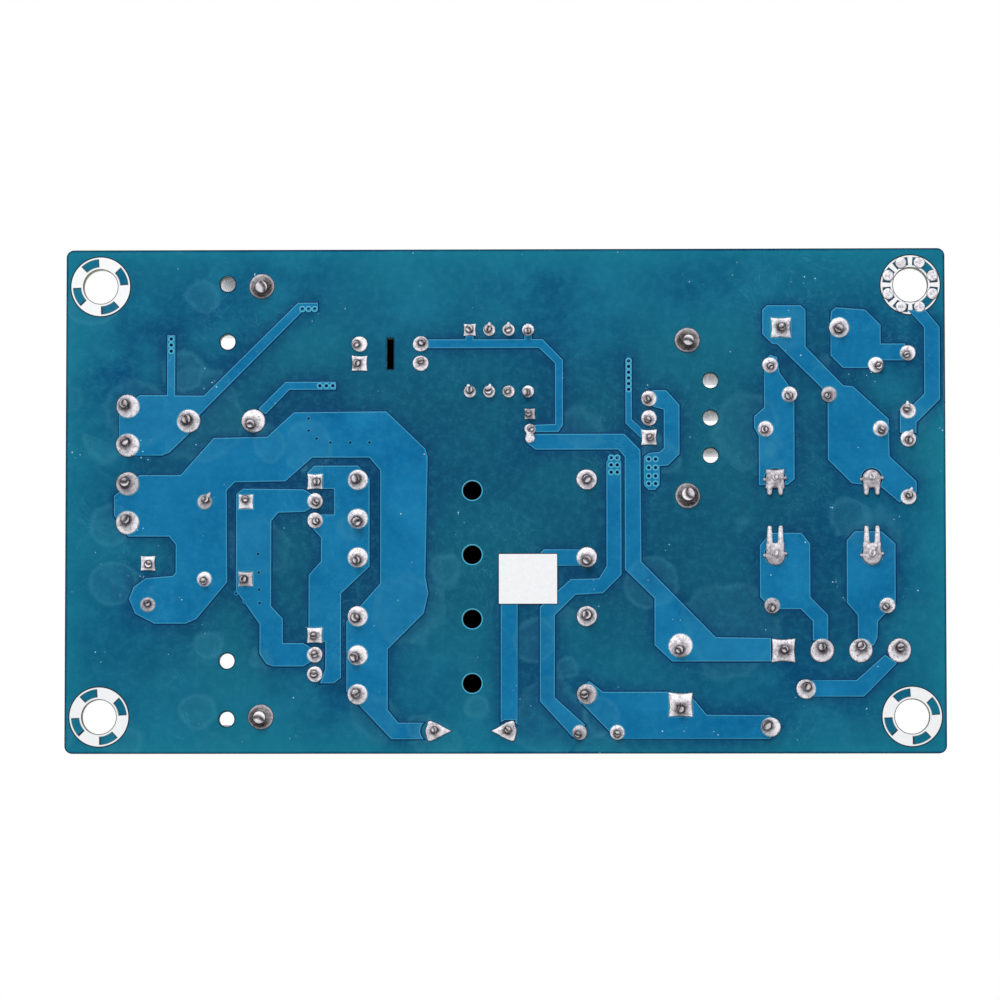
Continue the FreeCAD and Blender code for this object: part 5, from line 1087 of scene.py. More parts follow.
# %% Vias
# Places in mm: those with a pale ring, and those sunk under the mask
RINGED = [
    (43.7, 21.3), (43.7, 20.5), (43.7, 19.7), (26.5, 25.2), (25.7, 25.2), (24.9, 25.2),
    (24.2, 15.1), (23.35, 15.1), (22.5, 15.1),
    (-13.9, 5.6), (-13.9, 4.65), (-13.9, 3.7), (-14.7, 5.6), (-14.7, 4.65), (-14.7, 3.7),
    (-18.8, 5.4), (-18.8, 4.3), (-18.8, 3.2), (-18.8, 2.2),
    (-19.7, 5.4), (-19.7, 4.3), (-19.7, 3.2), (-19.7, 2.2),
    (-16.2, 18.3), (-16.2, 17.55), (-16.2, 16.8), (-16.2, 16.05), (-16.2, 15.3), (-16.2, 14.55),
]
SUNKEN = [
    (32.24, -6.93), (32.15, -9.35), (32.09, -11.6), (32.02, -13.35), (34.0, -13.14),
    (35.11, -12.08), (25.67, 10.81), (25.67, 9.23), (24.62, 8.18), (22.8, 7.65), (20.2, 7.65),
    (17.7, 7.65),
]
# Rows of one small profile: radius and level in mm, how pale and how dark
VIA_RADII = np.array([0.0, 0.1, 0.17, 0.24, 0.34, 0.4])
VIA_LEVEL = np.array([-0.1, -0.1, -0.112, -0.122, -0.118, -0.104])
VIA_LIGHT = np.array([0.0, 0.0, 0.0, 1.0, 0.9, 0.0])
VIA_DARK = np.array([1.0, 1.0, 1.0, 0.0, 0.0, 0.0])


def rings(places, radii, levels, columns):
    """A small ring or dimple at each place: rows are radii with levels, columns run round it."""
    angles = np.linspace(0, 2 * np.pi, columns, endpoint=False)
    spots = places[:, None, None, :]
    return np.stack([
        spots[..., 0] + radii[None, :, None] * np.cos(angles),
        spots[..., 1] + radii[None, :, None] * np.sin(angles),
        np.broadcast_to(levels[None, :, None], (len(places), len(radii), columns)),
    ], axis=-1)


def vias(places, scale, light):
    """Dimples of one scale, and how pale their points are."""
    grids = rings(np.array(places) * MM, VIA_RADII * scale * MM, VIA_LEVEL * MM, 12)
    return grids, np.broadcast_to(VIA_LIGHT[None, :, None] * light, grids.shape[:3])


ringed, ringed_light = vias(RINGED, 1.12, 1.0)
sunken, sunken_light = vias(SUNKEN, 0.8, 0.15)
via_grids = np.concatenate([ringed, sunken])
via_points, via_faces = flatten(via_grids, wrapped=True)
piece("vias", via_points, via_faces, copper_finish, marks={
    "painted_highlight_and_pale_ring": np.concatenate([ringed_light, sunken_light]),
    "painted_shade_and_via_dot": np.broadcast_to(VIA_DARK[None, :, None], via_grids.shape[:3]),
})

# %% [markdown]
# The four cooling holes under the transformer are drilled in the solid. The mask ends in a fine
# pale rim round each of them, and the same rows and columns draw it.

# %% Rims of the cooling holes
COOLING_Y = np.array([-12.6, -4.2, 4.2, 12.6])
RIM_RADII = np.array([1.24, 1.28, 1.36, 1.42])
RIM_LEVEL = np.array([-0.002, -0.014, -0.014, -0.002])
RIM_LIGHT = np.array([0.0, 1.0, 1.0, 0.0])
core_x, core_y = np.mean(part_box("transformer_core"), axis=0)[:2]
cooling_places = np.column_stack([np.full(len(COOLING_Y), core_x), core_y + COOLING_Y * MM])
rim_grids = rings(cooling_places, RIM_RADII * MM, RIM_LEVEL * MM, 64)
rim_points, rim_faces = flatten(rim_grids, wrapped=True)
piece("cooling_rims", rim_points, rim_faces, copper_finish, marks={
    "painted_highlight_and_pale_ring": np.broadcast_to(RIM_LIGHT[None, :, None], rim_grids.shape[:3]),
})

# %% [markdown]
# ## Finishes of the parts
# Most parts on the component side are moulded, dipped, plated or sawn, and differ in two tones,
# the size of their grain, their gloss and the direction of their marks. One function builds such
# a finish from those few facts, and each is handed to the nodes that it belongs to.


# %% Two tone finish
def surface(
    name, dark, light, grain, rough, relief=0.01, along=(1.0, 1.0, 1.0), shaded=0.0, **sockets
):
    """Two tones in soft clouds, a fine grain in colour, gloss and relief; along stretches it.

    shaded is the reflection of a dark part; its underside is painted black as shade.
    """
    coat = Finish(name, **sockets)
    where = coat.stretched(*along)
    clouds = coat.noise(grain * 9, 3.0, where=where)
    fine = coat.noise(grain, 5.0, where=where, rough=0.6)
    colour = coat.mix(coat.spread(clouds, 0.36, 0.64), dark, light)
    colour = coat.mix(coat.spread(fine, 0.45, 0.7, 0.0, 0.4), colour, light)
    colour = coat.mix(coat.spread(fine, 0.3, 0.42, 0.35, 0.0), colour, dark)
    if shaded:
        # Painted shade: faces that look down are painted near black and lose their reflection.
        outside_painted_shade = coat.spread(coat.upright(), -0.95, -0.7)
        colour = coat.mix(outside_painted_shade, (2, 2, 3), colour)
        coat.feed(coat.shader, "Specular IOR Level", coat.spread(outside_painted_shade, 0.0, 1.0, 0.0, shaded))
    coat.bump(fine, relief)
    coat.bump(clouds, relief * 2)
    coat.colour = colour
    coat.gloss = coat.spread(fine, 0.3, 0.7, *rough)
    return coat


def finish(*facts, **more):
    """A two tone finish as it is."""
    coat = surface(*facts, **more)
    return coat.done(coat.colour, coat.gloss)


dress(
    finish("moulded_green_nylon", (6, 92, 62), (14, 118, 82), 0.35, (0.36, 0.52), relief=0.02),
    "input_terminal", "output_terminal",
)
dress(
    finish("nickelled_brass", (186, 178, 156), (222, 214, 194), 0.5, (0.22, 0.4), Metallic=1.0),
    "wire_cages",
)
zinc = finish("zinc_plate", (172, 177, 182), (214, 217, 220), 0.4, (0.2, 0.38), Metallic=1.0)
dress(zinc, "clamp_screws", "device_screws")
tinned = finish("tinned_copper", (172, 168, 160), (214, 210, 204), 0.3, (0.24, 0.42), Metallic=0.9)
dress(
    tinned, "terminal_pins", "fuse_wires", "disc_wires", "filter_wires", "choke_pins",
    "bridge_pins", "capacitor_wires", "device_pins", "heatsink_pins", "controller_pins",
    "isolator_pins", "transformer_pins", "device_tabs",
)
dress(
    finish("nickel_cap", (184, 178, 166), (224, 218, 206), 0.6, (0.14, 0.3), Metallic=1.0),
    "fuse_caps",
)
glass = Finish("fuse_glass", Transmission_Weight=1.0, IOR=1.47)
glass_haze = glass.noise(1.2, 4.0)
glass.bump(glass_haze, 0.004)
dress(
    glass.done(
        glass.mix(glass.spread(glass_haze, 0.3, 0.7), (238, 246, 244), (252, 255, 254)),
        glass.spread(glass_haze, 0.35, 0.7, 0.01, 0.07),
    ),
    "fuse_tube",
)
print("metals, glass and terminals")

# %% [markdown]
# Black parts still differ: moulded bobbins shine a little, chip cases are fine and dull, ferrite
# is grey and ground in one direction. Extruded aluminium gets its long lines from a grain that is
# stretched along the height.

# %% Moulded and sawn finishes
# The black moulding, the epoxy cases and the ferrite have their undersides painted near black as
# shade.
moulding = finish(
    "black_moulding", (17, 17, 19), (33, 33, 35), 0.3, (0.36, 0.55), relief=0.02, shaded=0.25
)
epoxy = finish(
    "epoxy_case", (24, 24, 26), (40, 40, 43), 0.12, (0.5, 0.68), relief=0.012, shaded=0.25
)
ferrite = finish(
    "ground_ferrite", (46, 46, 51), (58, 58, 63), 0.25, (0.42, 0.66), relief=0.015,
    along=(1, 1, 0.3), shaded=0.2,
)
dress(moulding, "choke_bobbin", "transformer_bobbin")
dress(epoxy, "bridge_rectifier", "device_bodies", "controller", "isolator", "surface_parts")
dress(ferrite, "choke_core", "transformer_core")
dress(
    finish("yellow_case", (205, 148, 26), (226, 174, 48), 0.4, (0.34, 0.5), relief=0.02),
    "filter_capacitors",
)
dress(
    finish("grey_silicone", (112, 118, 124), (142, 147, 152), 0.3, (0.6, 0.8), relief=0.02),
    "insulating_pads",
)
extruded = finish(
    "extruded_aluminium", (158, 161, 166), (194, 197, 201), 0.35, (0.34, 0.52), relief=0.02,
    along=(1.0, 1.0, 0.04), Metallic=1.0,
)
dress(extruded, "primary_heatsink", "output_heatsink")
tape = surface("yellow_tape", (214, 168, 34), (236, 196, 66), 0.8, (0.2, 0.36), Coat_Weight=0.3)
laps = tape.noise(2.2, 2.0, where=tape.stretched(0.1, 0.1, 1.6))
tape_colour = tape.mix(tape.spread(laps, 0.56, 0.6, 0.0, 0.35), tape.colour, (176, 128, 22))
dress(tape.done(tape_colour, tape.gloss), "winding_tape")
# The tape round the core has its undersides painted near black as shade.
dress(
    finish("tape_round_core", (214, 168, 34), (236, 196, 66), 0.8, (0.24, 0.4), shaded=0.4),
    "core_tape",
)
enamel = finish(
    "enamelled_wire", (138, 56, 22), (190, 96, 42), 0.25, (0.18, 0.34),
    Metallic=0.6, Coat_Weight=0.4,
)
dress(enamel, "choke_windings", "transformer_winding", "output_inductor", "inductor_wires")
print("mouldings, ferrite, heatsinks and wire")

# %% [markdown]
# ## Sleeved cans
# An electrolytic capacitor is a metal can in a shrunk plastic sleeve, with a bare pressed top
# that is scored so that it can give way. A profile of radii and heights, turned round an axis,
# makes the sleeve: crimped near its foot, rolled over the top's rim. A pale band marked with
# dashes runs down the side of its negative lead.


# %% Sleeves
# Radii of the rolled foot and rim and depth of the crimp, in mm
FOOT_ROLL, RIM_ROLL, CRIMP = 0.5, 0.55, 0.38


def profile_can(radius, low, high):
    """Radii and heights of a sleeve: rolled foot, crimp, straight wall and rolled rim."""
    turn = np.linspace(0, np.pi / 2, 6)
    foot_r = radius - FOOT_ROLL + FOOT_ROLL * np.sin(turn)
    foot_z = low + FOOT_ROLL - FOOT_ROLL * np.cos(turn)
    crimp = np.linspace(0, 1, 9)
    crimp_r = radius - CRIMP * np.sin(np.pi * crimp) ** 2
    wall = np.linspace(low + 2.6, high - 0.6, int((high - low) / 0.55))
    wall_r = np.full(len(wall), radius)
    rim_r = radius - RIM_ROLL + RIM_ROLL * np.cos(turn)
    rim_z = high - RIM_ROLL + RIM_ROLL * np.sin(turn)
    roll_r = radius - RIM_ROLL - 0.35 * np.sin(turn[1:])
    roll_z = high - 0.45 * (1 - np.cos(turn[1:]))
    radii = np.concatenate([[radius - 2.2], foot_r, crimp_r, wall_r, rim_r, roll_r])
    heights = np.concatenate([[low], foot_z, low + 0.9 + 1.4 * crimp, wall, rim_z, roll_z])
    return radii, heights


def sleeve(x, y, radius, low, high, stripe_at, columns=160):
    """A profile turned round the vertical, with how pale and how dark each point is printed."""
    radii, heights = profile_can(radius, low, high)
    angles = np.linspace(0, 2 * np.pi, columns, endpoint=False)
    grid = np.stack([
        x + radii[:, None] * np.cos(angles),
        y + radii[:, None] * np.sin(angles),
        np.broadcast_to(heights[:, None], (len(radii), columns)),
    ], axis=-1)
    away = np.abs((angles - stripe_at + np.pi) % (2 * np.pi) - np.pi) * radius
    band = (away < radius * 0.26)[None, :] & (radii > radius - 0.45)[:, None]
    at_dash = (heights - low) % (radius * 0.9) < radius * 0.16
    dash = (away < radius * 0.13)[None, :] & at_dash[:, None]
    return grid * MM, quads(len(radii), columns, wrapped=True), band * 1.0, (band & dash) * 1.0


sleeve_coat = surface("shrunk_sleeve", (17, 19, 25), (30, 33, 41), 0.5, (0.2, 0.34), relief=0.015)
sleeve_colour = sleeve_coat.mix(sleeve_coat.mark("pale_band"), sleeve_coat.colour, (168, 172, 176))
sleeve_colour = sleeve_coat.mix(sleeve_coat.mark("dash"), sleeve_colour, (20, 22, 28))
sleeve_finish = sleeve_coat.done(sleeve_colour, sleeve_coat.gloss)


def can_boxes(node):
    """The middle, radius and height range of each upright can in a node, in mm."""
    found = []
    for points in islands(node):
        low, high = points.min(axis=0) / MM, points.max(axis=0) / MM
        found.append([*(low + high)[:2] / 2, (high[0] - low[0]) / 2, low[2], high[2]])
    return found


def sleeves(name, node, stripe_angles):
    """All of a node's cans as one piece."""
    parts = [sleeve(*can, stripe_at) for can, stripe_at in zip(can_boxes(node), stripe_angles)]
    points, faces = gathered([(grid.reshape(-1, 3), faces) for grid, faces, _, _ in parts])
    marks = {
        "pale_band": np.concatenate([band.ravel() for _, _, band, _ in parts]),
        "dash": np.concatenate([dash.ravel() for _, _, _, dash in parts]),
    }
    return piece(
        name, points, faces, sleeve_finish, marks=marks, instead_of=(node,)
    )


sleeves("bulk_sleeve", "bulk_capacitor", [np.pi / 2])
sleeves("output_sleeves", "output_capacitors", [0.0, 0.0, -np.pi / 2])
sleeves("supply_sleeve", "supply_capacitor", [-np.pi / 2])


# %% [markdown]
# The bare tops are flat discs of many rings. Points near two crossing lines drop a little, and
# the outermost rings bend down under the sleeve.


# %% Scored tops
TOP_ROWS, TOP_COLUMNS = 26, 96


def scored_top(x, y, radius, high):
    """A disc pressed with a cross: the level drops near two crossing lines, as a bell curve."""
    radii = np.linspace(0, 1, TOP_ROWS)[:, None] * radius
    angles = np.linspace(0, 2 * np.pi, TOP_COLUMNS, endpoint=False)
    across, along = radii * np.cos(angles), radii * np.sin(angles)
    line = np.minimum(np.abs(across + along), np.abs(across - along)) / np.sqrt(2)
    groove = np.exp(-((line / 0.16) ** 2)) * (radii < radius * 0.78)
    dome = 0.18 * np.clip((radii / radius - 0.86) / 0.14, 0, 1) ** 2
    level = high - 0.02 - 0.14 * groove - dome
    grid = np.stack([x + across, y + along, level], axis=-1)
    return grid.reshape(-1, 3) * MM, quads(TOP_ROWS, TOP_COLUMNS, wrapped=True)


pressed = finish(
    "pressed_aluminium", (172, 175, 179), (192, 194, 197), 0.4, (0.3, 0.5), Metallic=1.0
)
top_points, top_faces = gathered([
    scored_top(x, y, radius, high) for x, y, radius, _, high in can_boxes("capacitor_tops")
])
piece(
    "scored_tops", top_points, top_faces, pressed,
    instead_of=("capacitor_tops",),
)

# %% [markdown]
# ## Dipped parts
# Safety capacitors, the varistor and the thermistor are discs dipped in resin: flat faced lenses
# with a thick round rim, and a run of resin down the top of each leg. Each disc is a rounded
# form worked out from two angles, and each run is a short flared tube.


# %% Dipped discs
DISC_ROWS, DISC_COLUMNS = 33, 56
RUN_ROWS, RUN_COLUMNS = 9, 16


def dipped(points_mm, seed):
    """A dipped disc in the place of a solid one, with its runs, in mm.

    Across the face it is round; through it, the sine of the other angle to a small power makes
    the faces flat and the rim round. Soft waves keep it from being perfect.
    """
    dice = np.random.default_rng(seed)
    low, high = points_mm.min(axis=0), points_mm.max(axis=0)
    middle = (low + high) / 2
    flat = points_mm[:, :2] - middle[:2]
    _, _, ways = np.linalg.svd(flat, full_matrices=False)
    wide, thin = ways
    radius = (high[2] - low[2]) / 2
    half = np.abs(flat @ thin).max()
    over = np.linspace(-np.pi / 2, np.pi / 2, DISC_ROWS)[:, None]
    round_face = np.linspace(0, 2 * np.pi, DISC_COLUMNS, endpoint=False)[None, :]
    wave = 1 - 0.012 * (1 + np.cos(2 * round_face + dice.uniform(0, 6)))
    out = radius * wave * np.cos(over) ** 0.42
    through = half * 0.99 * np.sign(np.sin(over)) * np.abs(np.sin(over)) ** 0.8
    across, up = out * np.cos(round_face), out * np.sin(round_face)
    grid = middle + np.stack([
        across * wide[0] + through * thin[0], across * wide[1] + through * thin[1], up,
    ], axis=-1)
    return grid.reshape(-1, 3), quads(DISC_ROWS, DISC_COLUMNS, wrapped=True)


def resin_run(x, y, start, end, wide):
    """A flared tube down a leg: wide inside the disc, narrowing as it runs down."""
    down = np.linspace(0, 1, RUN_ROWS)[:, None]
    angles = np.linspace(0, 2 * np.pi, RUN_COLUMNS, endpoint=False)[None, :]
    reach = 0.5 + (wide - 0.5) * (1 - down) ** 2.2
    reach = np.where(down > 0.95, 0.3, reach)
    level = start + (end - start) * down + 0 * angles
    grid = np.stack([x + reach * np.cos(angles), y + reach * np.sin(angles), level], axis=-1)
    return grid.reshape(-1, 3), quads(RUN_ROWS, RUN_COLUMNS, wrapped=True)[:, ::-1]


disc_legs = [points / MM for points in islands("disc_wires")]


def dipped_parts(name, node, coat, seed):
    """All of a node's discs with the runs of the legs that stand below them."""
    parts = []
    for number, points in enumerate(islands(node)):
        points_mm = points / MM
        parts.append(dipped(points_mm, seed + number))
        low, high = points_mm.min(axis=0), points_mm.max(axis=0)
        for leg in disc_legs:
            x, y = (leg.min(axis=0)[:2] + leg.max(axis=0)[:2]) / 2
            if (low[:2] - 0.6 < (x, y)).all() and ((x, y) < high[:2] + 0.6).all():
                top = leg[:, 2].max() + 0.3
                wide = min(1.1, 0.48 * (high - low)[:2].min())
                parts.append(resin_run(x, y, top, max(top - 3.0, 2.0), wide))
    points, faces = gathered(parts)
    return piece(name, points * MM, faces, coat, instead_of=(node,))


wet_look = {"rough": (0.16, 0.3), "relief": 0.03, "Coat_Weight": 0.2}
dark_blue = finish("blue_resin", (16, 66, 146), (32, 92, 178), 0.7, **wet_look)
pale_blue = finish("pale_blue_resin", (44, 104, 172), (70, 134, 198), 0.7, **wet_look)
dipped_parts("varistor_body", "varistor", dark_blue, 61)
dipped_parts("mains_safety_bodies", "mains_safety_capacitors", pale_blue, 63)
dipped_parts("bridging_body", "bridging_capacitor", pale_blue, 66)
dipped_parts("damping_body", "damping_capacitor", pale_blue, 68)
dipped_parts(
    "thermistor_body", "thermistor",
    finish("black_green_resin", (26, 33, 25), (46, 55, 42), 0.5, (0.4, 0.6), relief=0.04), 69,
)

# %% [markdown]
# ## Wound parts
# The choke has two coils in the chambers of its bobbin, and the output inductor has one layer of
# thick wire round a ring. A coil's surface is a cylinder whose radius rises and falls once for
# each turn.


# %% Choke coils
COIL_COLUMNS = 72


def wound_coil(low, high, turns):
    """A coil round a level axis: rows along it dip between wires, columns run round it.

    The radius is the outer one less a wire's radius times one minus the root of a circle's
    section, and the phase of the dips moves on by one wire each time round.
    """
    middle = (low + high) / 2
    radius = (high[2] - low[2]) / 2
    wire = (high[0] - low[0]) / turns
    rows = np.linspace(0, turns, turns * 8 + 1)[:, None]
    angles = np.linspace(0, 2 * np.pi, COIL_COLUMNS, endpoint=False)[None, :]
    phase = (rows + angles / (2 * np.pi)) % 1.0 * 2 - 1
    reach = radius - wire / 2 * (1 - np.sqrt(np.clip(1 - phase**2, 0, 1)))
    # One more row at each end closes the coil down to a smaller radius
    inner = np.full((1, COIL_COLUMNS), radius * 0.6)
    reach = np.concatenate([inner, reach, inner])
    x = low[0] + wire * np.concatenate([rows[:1], rows, rows[-1:]]) + 0 * angles
    y = middle[1] + reach * np.cos(angles)
    z = middle[2] + reach * np.sin(angles)
    grid = np.stack([x, y, z], axis=-1)
    return grid.reshape(-1, 3), quads(len(x), COIL_COLUMNS, wrapped=True)[:, ::-1]


coil_points, coil_faces = gathered([
    wound_coil(points.min(axis=0), points.max(axis=0), 4) for points in islands("choke_windings")
])
piece(
    "choke_coils", coil_points, coil_faces, enamel,
    instead_of=("choke_windings",),
)

# %% [markdown]
# The ring's wire is a tube carried along a path that winds round the ring's section while it goes
# round the ring. Curves with a bevel would give the same tube with less control over how it
# follows a squarish section.


# %% Ring inductor
WIRE_RADIUS = 0.45 * MM
CORE_DEPTH = 0.8 * MM
# The part of the way round, in radians, that carries no wire
FREE_ARC = 0.7
ring_low, ring_high = (np.array(corner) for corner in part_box("output_inductor"))
ring_middle = (ring_low + ring_high) / 2
ring_outer = (ring_high[0] - ring_low[0]) / 2
ring_half = (ring_high[1] - ring_low[1]) / 2
ring_mesh = np.array([vertex.co for vertex in nodes["output_inductor"].data.vertices]) - ring_middle
ring_inner = np.hypot(ring_mesh[:, 0], ring_mesh[:, 2]).min()
print("ring", ring_outer / MM, ring_inner / MM, ring_half / MM)


def section(angle, depth):
    """A squarish loop round the ring's section, a depth below the solid's surface."""
    half_wide = (ring_outer - ring_inner) / 2 - depth
    half_thick = ring_half - depth
    side, front = np.cos(angle), np.sin(angle)
    middle = (ring_outer + ring_inner) / 2
    return (
        middle + half_wide * np.sign(side) * np.abs(side) ** 0.5,
        half_thick * np.sign(front) * np.abs(front) ** 0.5,
    )


def on_ring(turn, radius, across):
    """A point of the ring from the angle round it, the distance from its axis and along it."""
    return ring_middle + np.stack([radius * np.sin(turn), across, -radius * np.cos(turn)], axis=-1)


def tube(path, radius, sides=8):
    """A tube carried along a closed path: each row is a circle square to the path there."""
    tangent = np.roll(path, -1, axis=0) - np.roll(path, 1, axis=0)
    tangent /= np.linalg.norm(tangent, axis=1, keepdims=True)
    outward = path - ring_middle
    outward -= (outward * tangent).sum(axis=1, keepdims=True) * tangent
    outward /= np.linalg.norm(outward, axis=1, keepdims=True)
    aside = np.cross(tangent, outward)
    angles = np.linspace(0, 2 * np.pi, sides, endpoint=False)[None, :, None]
    circle_there = np.cos(angles) * outward[:, None] + np.sin(angles) * aside[:, None]
    return path[:, None] + radius * circle_there


turns, steps = 23, 24
winding = np.arange(turns * steps) / steps
path = on_ring(
    FREE_ARC / 2 + winding / turns * (2 * np.pi - FREE_ARC) * turns / (turns - 1 / steps),
    *section(2 * np.pi * winding, WIRE_RADIUS),
)
turn_grid = tube(path, WIRE_RADIUS * 0.98)
turn_points, turn_faces = flatten(turn_grid[None], wrapped=True)
piece(
    "inductor_turns", turn_points, turn_faces, enamel,
    instead_of=("output_inductor",),
)
core_turn, core_section = np.meshgrid(
    np.linspace(0, 2 * np.pi, 73), np.linspace(0, 2 * np.pi, 32, endpoint=False), indexing="ij"
)
core_radius, core_across = section(core_section, CORE_DEPTH)
core_grid = on_ring(core_turn, core_radius, core_across)
powder = finish("powder_core", (186, 170, 70), (214, 200, 104), 0.3, (0.4, 0.6), relief=0.03)
core_points, core_faces = flatten(core_grid[None], wrapped=True)
piece("inductor_core", core_points, core_faces, powder)

# %% [markdown]
# ## Small things on the component side
# The fuse has a thin wire inside its glass. Surface parts have bright ends, the two small cases
# have a dot at their first lead, and white outlines on the board show where parts go.


# %% Fuse wire, chip ends
# Radius of the fuse's wire, how much its bead adds, and how far it sags, in mm
THIN, BEAD, SAG = 0.07, 0.22, 0.25
tube_low, tube_high = (np.array(corner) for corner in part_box("fuse_tube"))
fuse_t = np.linspace(0, 1, 40)[:, None]
fuse_angles = np.linspace(0, 2 * np.pi, 8, endpoint=False)[None, :]
fuse_middle = (tube_low + tube_high) / 2
bead = THIN + BEAD * np.exp(-(((fuse_t - 0.5) / 0.05) ** 2))
fuse_grid = np.stack([
    tube_low[0] + (tube_high[0] - tube_low[0]) * fuse_t + 0 * fuse_angles,
    fuse_middle[1] + bead * MM * np.cos(fuse_angles),
    fuse_middle[2] - SAG * MM * np.sin(np.pi * fuse_t) + bead * MM * np.sin(fuse_angles),
], axis=-1)
fuse_points, fuse_faces = flatten(fuse_grid[None], wrapped=True, turned=True)
piece("fuse_element", fuse_points, fuse_faces, tinned)


BLOCK_ROWS, BLOCK_COLUMNS, BLOCK_POWER = 13, 24, 0.28


def rounded_block(low, high):
    """A closed rounded box: a ball whose sines and cosines are raised to a small power."""
    over = np.linspace(-np.pi / 2, np.pi / 2, BLOCK_ROWS)[:, None]
    angles = np.linspace(0, 2 * np.pi, BLOCK_COLUMNS, endpoint=False)[None, :]

    def squared(value):
        """A value raised to the power with its sign kept."""
        return np.sign(value) * np.abs(value) ** BLOCK_POWER

    unit = np.stack([
        squared(np.cos(over)) * squared(np.cos(angles)),
        squared(np.cos(over)) * squared(np.sin(angles)),
        squared(np.sin(over)) + 0 * angles,
    ], axis=-1)
    grid = (low + high) / 2 + unit * (high - low) / 2
    return grid.reshape(-1, 3), quads(BLOCK_ROWS, BLOCK_COLUMNS, wrapped=True)


# How long a chip's bright end is, and how far it stands proud of the chip
END_LONG, END_PROUD = 0.4 * MM, 0.02 * MM
end_parts = []
for points in islands("surface_parts"):
    low, high = points.min(axis=0), points.max(axis=0)
    lengthwise = int(np.argmax((high - low)[:2]))
    for end in (0, 1):
        near, far = low - END_PROUD, high + END_PROUD
        near[2] = low[2]
        if end:
            near[lengthwise] = high[lengthwise] - END_LONG
        else:
            far[lengthwise] = low[lengthwise] + END_LONG
        end_parts.append(rounded_block(near, far))
end_points, end_faces = gathered(end_parts)
piece("chip_ends", end_points, end_faces, tinned)


# %% [markdown]
# The outlines are flat strips that follow a box or a circle seen from above, mitred where they
# turn a corner. They are worked out from the parts themselves, so they always fit.


# %% Component side print
# Margin round a part, width of a line and height over the board, in mm
MARGIN, LINE_WIDE, PRINT_RISE = 0.35, 0.2, 0.012


def strip(corners):
    """A closed flat strip along straight runs: two rows of points, mitred at the corners."""
    ahead = np.roll(corners, -1, axis=0) - corners
    ahead /= np.linalg.norm(ahead, axis=1, keepdims=True)
    behind = np.roll(ahead, 1, axis=0)
    normal = np.stack([ahead[:, 1] + behind[:, 1], -ahead[:, 0] - behind[:, 0]], axis=1)
    normal /= (normal**2).sum(axis=1, keepdims=True) / 2
    aside = normal * LINE_WIDE / 2
    rows = np.stack([corners + aside, corners - aside])
    level = np.full((*rows.shape[:2], 1), float(board_high[2]) / MM + PRINT_RISE)
    points = np.concatenate([rows, level], axis=-1).reshape(-1, 3) * MM
    return points, quads(2, len(corners), wrapped=True)


def around(box_low, box_high):
    """The four corners of a box seen from above, a little outside it."""
    (x0, y0), (x1, y1) = box_low[:2] / MM - MARGIN, box_high[:2] / MM + MARGIN
    return np.array([(x0, y0), (x1, y0), (x1, y1), (x0, y1)])


def ring_of(x, y, radius):
    """Points of a circle seen from above."""
    angles = np.linspace(0, 2 * np.pi, 72, endpoint=False)
    return np.stack([x + radius * np.cos(angles), y + radius * np.sin(angles)], axis=1)


legend_parts = []
for node in (
    "input_terminal", "output_terminal", "varistor", "filter_capacitors", "bridge_rectifier",
    "mains_safety_capacitors", "bridging_capacitor", "damping_capacitor", "controller",
    "isolator", "output_inductor", "device_bodies", "surface_parts", "choke_bobbin",
    "transformer_bobbin",
):
    for points in islands(node):
        legend_parts.append(strip(around(points.min(axis=0), points.max(axis=0))))
for node in ("bulk_capacitor", "output_capacitors", "supply_capacitor"):
    for x, y, radius, _, _ in can_boxes(node):
        legend_parts.append(strip(ring_of(x, y, radius + MARGIN)))
legend_points, legend_faces = gathered(legend_parts)
piece("part_outlines", legend_points, legend_faces, ink_finish, smooth=False)

# %% [markdown]
# A round dot on a case tells its first lead from the others. The rings made for the small plated
# holes can draw these too: three radii from nothing to the dot's own.

# %% First lead dots
DOT_RADII = np.array([0.0, 0.4 * 0.6, 0.4])
DOT_ASIDE, DOT_ALONG, DOT_RISE = 1.0 * MM, 1.2 * MM, 0.01 * MM
dot_grids = []
for node, side in (("controller", 1), ("isolator", -1)):
    low, high = (np.array(corner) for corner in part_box(node))
    x = high[0] - DOT_ASIDE if side > 0 else low[0] + DOT_ASIDE
    place = np.array([(x, low[1] + DOT_ALONG)])
    dot_grids.append(rings(place, DOT_RADII * MM, np.full(3, high[2] + DOT_RISE), 20))
dot_points, dot_faces = flatten(np.concatenate(dot_grids), wrapped=True)
grey_ink = finish("grey_print", (150, 152, 156), (176, 178, 182), 0.2, (0.5, 0.7))
piece("first_lead_dots", dot_points, dot_faces, grey_ink, smooth=False)

# %% [markdown]
# ## Floor, light and camera
# The photograph looks straight at the solder side on pure white, so the camera is below the board
# and looks up. The floor is there for the views from above: only the camera sees it, only from
# its upper side, and it melts into the white background away from the board.

# %% Floor
# Distances in metres at which the floor begins to fade and has gone, and half its side
FADE_FROM, FADE_TO, FLOOR_HALF = 0.07, 0.3, 3
floor_coat = Finish("pale_floor", Specular_IOR_Level=0.1)
floor_grain = floor_coat.noise(6.0, 3.0)
floor_material = floor_coat.done(
    floor_coat.mix(floor_grain, (240, 240, 239), (248, 248, 247)),
    floor_coat.spread(floor_grain, 0, 1, 0.85, 0.95),
)
floor_tree = floor_material.node_tree


def floor_join(amount, first, second):
    """Mix two shaders by an amount."""
    joined = floor_tree.nodes.new("ShaderNodeMixShader")
    for socket, output in zip(joined.inputs, (amount, first, second)):
        floor_tree.links.new(output, socket)
    return joined.outputs[0]


